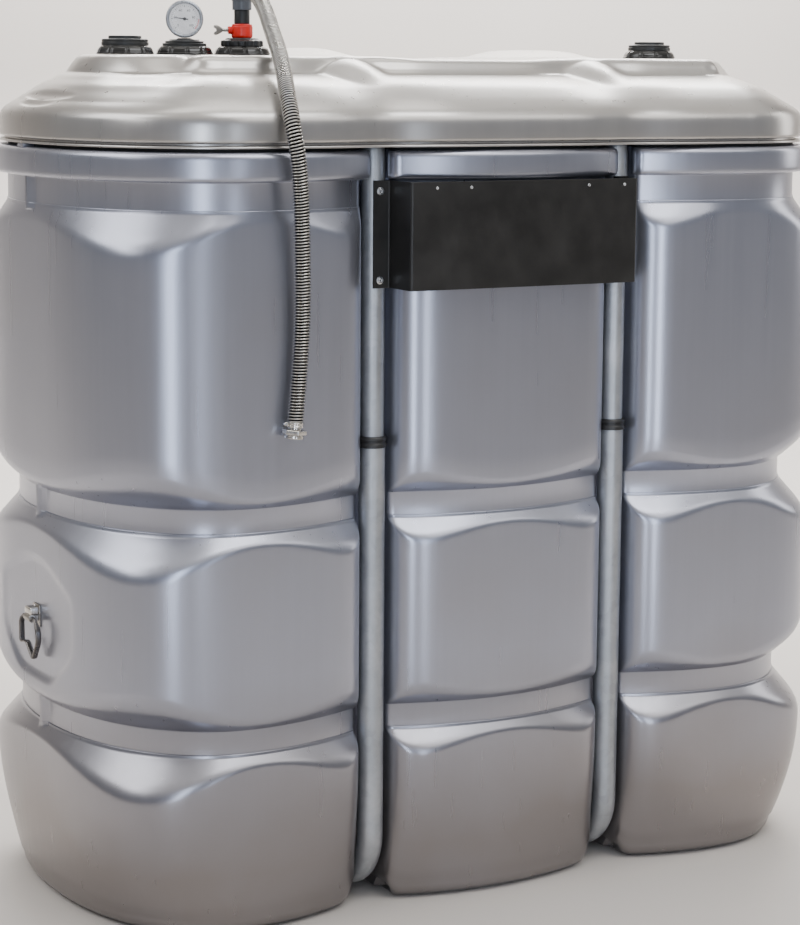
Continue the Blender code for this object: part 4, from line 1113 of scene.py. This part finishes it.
def make_suction(above):
    x = NECKS[2]
    prof = [(0, 0), (0.0400, 0), (0.0425, 0.0012), (0.0425, 0.0100), (0.0410, 0.0116), (0.0345, 0.0128),
            (0.0330, 0.0140), (0.0312, 0.0160), (0.0300, 0.0165), (0, 0.0165)]
    ride(lathe("suction_knurl", prof, M["matt"], (x, 0, above), steps=180, fillet=0.0007,
               shape=lobed(14, 0.16, 0.085, 0.0008, 0.0118, 0.3)), ["suction_nut"])
    z = above + 0.0165 + GAP
    prof = [(0, 0), (0.0190, 0), (0.0200, 0.0008), (0.0208, 0.0028), (0.0212, 0.0042), (0.0212, 0.0215),
            (0.0205, 0.0222), (0.0205, 0.0240), (0.0198, 0.0262), (0.0185, 0.0270), (0, 0.0270)]
    ride(lathe("clamp_body", prof, M["red"], (x, 0, z), steps=80, fillet=0.0006), ["tube_clamp"])
    aim = Vector((-0.98, 0.20, 0.0)).normalized()
    base = Vector((x, 0, z + 0.015))
    prof = [(0, 0), (0.0078, 0), (0.0078, 0.0070), (0.0070, 0.0080), (0.0034, 0.0084), (0.0034, 0.0180), (0, 0.0180)]
    boss = lathe("clamp_boss_screw", [(0, 0), (0.0034, 0), (0.0034, 0.0180), (0, 0.0180)], M["steel"],
                 base + aim * (0.0215 + GAP), aim, steps=28, fillet=0.0003,
                 shape=lambda a, h, r: 1.0 - 0.05 * (math.sin(h * 2 * math.pi / 0.0011) > 0))
    ride(boss, ["clamp_screw"])
    ride(lathe("clamp_boss", [(0, 0), (0.0080, 0), (0.0080, 0.0060), (0.0068, 0.0076), (0.0040, 0.0076),
                              (0.0040, 0.0), (0, 0)][:5] + [(0, 0.0076)], M["red"], base + aim * 0.0205, aim,
               steps=32, fillet=0.0004))
    # wing: two flat ears on the screw's end
    across = Vector((0, 0, 1))
    thick = aim.cross(across)
    start = base + aim * (0.0215 + 2 * GAP + 0.018)
    outline = [(0.0, -0.0040), (0.0040, -0.0062), (0.0085, -0.0088), (0.0130, -0.0100), (0.0162, -0.0090),
               (0.0172, -0.0065), (0.0160, -0.0045), (0.0130, -0.0030), (0.0112, 0.0), (0.0130, 0.0030),
               (0.0160, 0.0045), (0.0172, 0.0065), (0.0162, 0.0090), (0.0130, 0.0100), (0.0085, 0.0088),
               (0.0040, 0.0062), (0.0, 0.0040)]
    loop = np.array(rounded(outline + [outline[0]], 0.0012, 3))
    rows = []
    mid = loop.mean(axis=0)
    for inset, t in ((0.93, -0.0015), (1.0, -0.0010), (1.0, 0.0010), (0.93, 0.0015)):
        pts = mid + (loop - mid) * inset
        rows.append([tuple(start + aim * a + across * b + thick * t) for a, b in pts])
    verts, faces = skin(rows)
    n = len(loop)
    faces.append(tuple(range(n))[::-1])
    faces.append(tuple(range(3 * n, 4 * n)))
    ride(finish_mesh("wing_ears", verts, faces, M["steel"], 40), ["wing_grip"])
    z += 0.027 + GAP
    prof = [(0, 0), (0.0155, 0), (0.0155, 0.0265), (0, 0.0265)]
    ride(lathe("dip_tube", prof, M["matt"], (x, 0, z), steps=48, fillet=0.0004), ["suction_tube"])
    z += 0.0265 + GAP
    prof = [(0, 0), (0.0186, 0), (0.0190, 0.0006), (0.0190, 0.0165), (0.0205, 0.0185), (0.0205, 0.0235),
            (0.0195, 0.0248), (0, 0.0250)]
    ride(lathe("socket_sleeve", prof, M["grey"], (x, 0, z), steps=60, fillet=0.0005), ["tube_socket"])
    z += 0.025 + GAP
    corner = Vector((x, 0, ELBOW_Z))
    foot = Vector((x, 0, z))
    end = corner + HOSE_HEADING * (ELBOW_ARM - 0.012 - GAP)
    radius = min(0.020, (corner - foot).length * 0.8)
    a, b = corner - Vector((0, 0, 1)) * radius, corner + HOSE_HEADING * radius
    pts = [foot, foot.lerp(a, 0.5)]
    for k in range(15):
        t = k / 14
        pts.append(a.lerp(corner, t).lerp(corner.lerp(b, t), t))
    pts += [b.lerp(end, 0.5), end]
    verts, faces = sweep([tuple(p) for p in pts], [0.0150] * (len(pts)), 36)
    ride(finish_mesh("elbow_bend", verts, faces, M["nickel"], 50), ["hose_elbow"])
    hexed = lambda s, h, r: 1.0 / max(math.cos(((s + math.pi / 6) % (math.pi / 3)) - math.pi / 6), 0.5) * 0.93
    ride(lathe("elbow_foot_nut", [(0, 0), (0.0170, 0), (0.0170, 0.0075), (0.0150, 0.0085), (0, 0.0085)], M["nickel"],
               foot, (0, 0, 1), 72, 0.0005, hexed))
    prof = [(0, 0), (0.0160, 0), (0.0165, 0.0010), (0.0165, 0.0040), (0.0126, 0.0048), (0.0126, 0.0120), (0, 0.0120)]
    ride(lathe("elbow_tail", prof, M["nickel"], end + HOSE_HEADING * GAP, HOSE_HEADING, 48, 0.0005), ["hose_tail"])


# --------------------------------------------------------------------- hose
def make_hose():
    path44, length = spline(HOSE_ROUTE, 44, HOSE_HEADING)
    pitch = 0.0057
    per = 8
    count = int(length / pitch * per)
    path, _ = spline(HOSE_ROUTE, count, HOSE_HEADING)
    t, a, b = frames(path)
    sides = 24
    ang = np.linspace(0, 2 * math.pi, sides, endpoint=False)
    arc = np.linspace(0, length, count)
    rows, wraps = [], []
    for k in range(count):
        phase = arc[k] / pitch - ang / (2 * math.pi)
        wave = 0.5 + 0.5 * np.cos(2 * math.pi * phase)
        bead = ((wave - 0.50) / 0.32).clip(0, 1)
        bead = bead * bead * (3 - 2 * bead)
        r = HOSE_SKIN - 0.0024 + 0.0024 * bead
        if k < 2 or k > count - 3:
            r = np.minimum(r, HOSE_SKIN - 0.0010)
        rows.append(path[k] + np.outer(r * np.cos(ang), np.ones(3)) * a[k] + np.outer(r * np.sin(ang), np.ones(3)) * b[k])
        wraps.append(bead)
    verts, faces = skin(rows)
    faces.append(tuple(range(sides))[::-1])
    faces.append(tuple(range((count - 1) * sides, count * sides)))
    mesh = bpy.data.meshes.new("hose_spiral")
    mesh.from_pydata([tuple(map(float, v)) for v in verts], [], faces)
    mesh.update()
    mesh.shade_smooth()
    layer = mesh.attributes.new("wrap", "FLOAT", "POINT")
    layer.data.foreach_set("value", np.concatenate(wraps).astype(np.float32))
    hose = bpy.data.objects.new("hose_spiral", mesh)
    hose.data.materials.append(M["hose"])
    bpy.context.scene.collection.objects.link(hose)
    ride(hose, ["suction_hose"])
    end, before = Vector(path44[-1]), Vector(path44[-2])
    out = (end - before).normalized()
    prof = [(0, 0), (0.0158, 0), (0.0166, 0.0008), (0.0166, 0.0030), (0.0158, 0.0038), (0.0158, 0.0062),
            (0.0166, 0.0070), (0.0166, 0.0092), (0.0158, 0.0100), (0, 0.0100)]
    clamp = ride(lathe("hose_end_band", prof, M["nickel"], end + out * 2 * GAP, out, 64, 0.0004),
                 ["hose_end_clamp"])
    left = Vector((-1, 0, 0))
    left = (left - out * left.dot(out)).normalized()
    box_at = end + out * 0.0056 + left * 0.0175
    screw = ride(lathe("hose_band_screw", [(0, 0), (0.0034, 0), (0.0038, 0.0010), (0.0038, 0.0050), (0.0026, 0.0060),
                                           (0.0026, 0.0130), (0, 0.0130)], M["nickel"],
                       box_at + Vector((0, 0.0065, 0)), (0, -1, 0), 24, 0.0003))
    hexed = lambda s, h, r: (1.0 / math.cos(((s + math.pi / 6) % (math.pi / 3)) - math.pi / 6) * 0.90
                             if 0.0034 < h < 0.0138 and r > 0.0180 else 1.0)
    prof = [(0, 0), (0.0125, 0), (0.0125, 0.0030), (0.0205, 0.0038), (0.0225, 0.0056), (0.0225, 0.0118),
            (0.0205, 0.0134), (0.0172, 0.0140), (0.0172, 0.0150), (0.0185, 0.0156), (0.0185, 0.0196),
            (0.0178, 0.0205), (0.0140, 0.0205), (0.0138, 0.0150), (0, 0.0150)]
    union = ride(lathe("hose_end_nut", prof, M["nickel"], end + out * (0.010 + 3 * GAP), out, 96, 0.0004, hexed),
                 ["hose_end_union"])
    return length


# --------------------------------------------------------------- end fitting
RING_X, RING_Z, WIRE_R = -0.8445, 0.565, 0.0035
LOOP = ((0.032, 0.0), (0.045, -0.012), (0.045, -0.056), (0.014, -0.050), (-0.020, -0.080),
        (-0.045, -0.042), (-0.045, -0.020), (-0.027, 0.0))


def make_end_fitting():
    wall = -(PANEL_X + GAP)
    # wall plate and the folded arm that carries the knuckle
    ride(box("bracket_plate", (wall - 0.003, -0.017, RING_Z - 0.018), (wall, 0.017, RING_Z + 0.026), M["steel"]),
         ["ring_bracket"])
    ride(box("bracket_arm", (RING_X + 0.002, -0.0135, RING_Z - 0.0055), (wall - 0.0028, 0.0135, RING_Z + 0.0060), M["steel"]))
    ride(box("bracket_cheek", (RING_X - 0.0050, -0.0160, RING_Z + 0.0068), (wall - 0.0028, 0.0160, RING_Z + 0.0215), M["nickel"], 0.0030))
    ride(lathe("bracket_knuckle", [(0, 0), (0.0072, 0), (0.0080, 0.0008), (0.0080, 0.0292), (0.0072, 0.0300), (0, 0.0300)],
               M["steel"], (RING_X, 0.0150, RING_Z), (0, -1, 0), 40, 0.0003))
    for k, z in enumerate((RING_Z + 0.0200, RING_Z - 0.0125)):
        screw_head(f"bracket_screw_{k + 1}", (wall - 0.003, 0.0075, z), (-1, 0, 0), 0.0034, 0.0020, M["screw"])
    pts = []
    for k, corner in enumerate(LOOP):
        b = np.array(corner)
        a, c = np.array(LOOP[k - 1]) - b, np.array(LOOP[(k + 1) % len(LOOP)]) - b
        la, lc = np.linalg.norm(a), np.linalg.norm(c)
        cut = min(0.008, 0.45 * la, 0.45 * lc)
        p, q = b + a / la * cut, b + c / lc * cut
        for t in np.linspace(0, 1, 7):
            pts.append((1 - t) ** 2 * p + 2 * t * (1 - t) * b + t * t * q)
    pts = np.array(pts)
    n, sides = len(pts), 20
    tang = np.roll(pts, -1, axis=0) - np.roll(pts, 1, axis=0)
    tang /= np.linalg.norm(tang, axis=1)[:, None]
    nrm = np.column_stack([-tang[:, 1], tang[:, 0]])
    ang = np.linspace(0, 2 * math.pi, sides, endpoint=False)
    # flattened strap on the lower part, round where it passes through the knuckle
    rows = []
    for k in range(n):
        flat = 1.0 if pts[k][1] < -0.006 else 0.0
        wide, thick = WIRE_R + 0.0023 * flat, WIRE_R - 0.0010 * flat
        c, s_ = np.cos(ang), np.sin(ang)
        u = np.sign(c) * np.abs(c) ** 0.7 * thick
        v = np.sign(s_) * np.abs(s_) ** 0.7 * wide
        yz = pts[k] + np.outer(u, nrm[k])
        rows.append(np.column_stack([RING_X + v, yz[:, 0], RING_Z + yz[:, 1]]))
    verts, faces = skin(rows + [rows[0]])
    ride(finish_mesh("hanging_ring", verts, faces, M["wire"], 50), ["swing_ring"], body="ring")


# --------------------------------------------------------------------- stage
def floor_material():
    n = Nodes("studio_floor")
    cloud = n.noise(0.9, 2.0, 0.5)
    n.colour(n.mix(n.span(cloud, 0.3, 0.7, 0.0, 1.0), (0.565, 0.525, 0.485), (0.605, 0.565, 0.525)))
    n.rough(0.65)
    return n.mat


def make_stage():
    size, rise, bend, back = 14.0, 7.0, 1.6, 5.0
    prof = [(-size, 0.0), (back - bend, 0.0)]
    prof += [(back - bend + bend * math.sin(a), bend - bend * math.cos(a)) for a in np.linspace(0, math.pi / 2, 14)[1:]]
    prof.append((back, rise))
    rows = [[(x, y, z - 0.0005) for y, z in prof] for x in np.linspace(-size, size, 3)]
    verts, faces = skin(rows, closed=False)
    # the sweep stands square to the camera
    rot = np.array(Matrix.Rotation(math.radians(-29.09), 3, "Z"))
    obj = finish_mesh("studio_sweep", np.asarray(verts) @ rot.T, faces, floor_material(), None)


def area(name, at, to, size, power, colour=(1, 1, 1)):
    data = bpy.data.lights.new(name, "AREA")
    data.shape = "RECTANGLE"
    data.size, data.size_y = size
    data.energy = power
    data.color = colour
    obj = bpy.data.objects.new(name, data)
    obj.location = at
    obj.rotation_euler = (Vector(to) - Vector(at)).to_track_quat("-Z", "Y").to_euler()
    bpy.context.scene.collection.objects.link(obj)
    return obj


def make_world():
    """Soft room: pale behind the tank and overhead, dimmer in front."""
    world = bpy.data.worlds.new("studio")
    bpy.context.scene.world = world
    world.use_nodes = True
    tree = world.node_tree
    back = tree.nodes["Background"]
    coord = tree.nodes.new("ShaderNodeTexCoord")
    split = tree.nodes.new("ShaderNodeSeparateXYZ")
    tree.links.new(coord.outputs["Generated"], split.inputs["Vector"])
    # how far a direction points away behind the tank
    along = tree.nodes.new("ShaderNodeVectorMath")
    along.operation = "DOT_PRODUCT"
    along.inputs[1].default_value = (0.486, 0.874, 0.0)
    tree.links.new(coord.outputs["Generated"], along.inputs[0])
    depth = tree.nodes.new("ShaderNodeMapRange")
    depth.inputs["From Min"].default_value = -0.9
    depth.inputs["From Max"].default_value = 1.0
    tree.links.new(along.outputs["Value"], depth.inputs["Value"])
    ramp = tree.nodes.new("ShaderNodeValToRGB")
    stops = ((0.0, (0.21, 0.22, 0.26)), (0.45, (0.22, 0.23, 0.25)), (0.80, (0.40, 0.40, 0.40)), (0.93, (0.9, 0.9, 0.9)))
    while len(ramp.color_ramp.elements) < len(stops):
        ramp.color_ramp.elements.new(0.5)
    for e, (pos, colour) in zip(ramp.color_ramp.elements, stops):
        e.position = pos
        e.color = (*colour, 1.0)
    tree.links.new(depth.outputs["Result"], ramp.inputs["Fac"])
    up = tree.nodes.new("ShaderNodeMapRange")
    up.inputs["From Min"].default_value = 0.35
    up.inputs["From Max"].default_value = 0.75
    tree.links.new(split.outputs["Z"], up.inputs["Value"])
    mix = tree.nodes.new("ShaderNodeMix")
    mix.data_type = "RGBA"
    tree.links.new(up.outputs["Result"], mix.inputs[0])
    tree.links.new(ramp.outputs["Color"], mix.inputs[6])
    mix.inputs[7].default_value = (0.90, 0.865, 0.82, 1.0)
    tree.links.new(mix.outputs[2], back.inputs["Color"])
    back.inputs["Strength"].default_value = 1.0


def make_light():
    make_world()
    area("overhead", (-0.2, -0.1, 4.2), (-0.2, -0.09, 0.0), (2.6, 1.0), 18, (1.0, 0.98, 0.95))
    area("middle_top", (0.15, -2.0, 4.1), (0.15, -1.2, 0.6), (2.2, 1.3), 50, (0.98, 0.99, 1.0))
    area("front_top", (1.3, -3.3, 3.7), (0.1, -0.3, 1.0), (3.2, 1.4), 26, (1.0, 0.98, 0.96))
    area("left_top", (-3.7, 0.7, 4.0), (-1.4, 0.1, 0.7), (2.7, 2.5), 76, (0.97, 0.98, 1.0))
    area("strip_left", (-2.19, -3.30, 1.15), (-0.70, -0.4, 0.95), (0.50, 2.3), 31, (0.74, 0.84, 1.0))
    # turned to the right and shielded, so that it hardly reaches the left panel
    strip = area("strip_middle", (-0.42, -3.50, 1.15), (1.51, -1.2, 1.0), (0.50, 2.3), 16, (0.76, 0.85, 1.0))
    strip.data.spread = math.radians(100.0)
    area("backdrop", (1.75, 3.15, 4.6), (2.5, 4.6, 0.9), (4.4, 1.2), 680, (1.0, 1.0, 1.0))
    area("side_left", (-3.6, -0.6, 2.6), (-1.3, -1.1, 0.0), (1.2, 1.0), 8, (1.0, 1.0, 1.0))
    area("side_right", (4.0, -0.6, 2.2), (0.8, 0, 0.9), (1.2, 2.4), 30, (1.0, 0.98, 0.96))


hose_length = make_hose()
make_shell()
make_lid()
make_hoops()
make_cover()
make_necks()
make_end_fitting()
make_stage()
make_light()
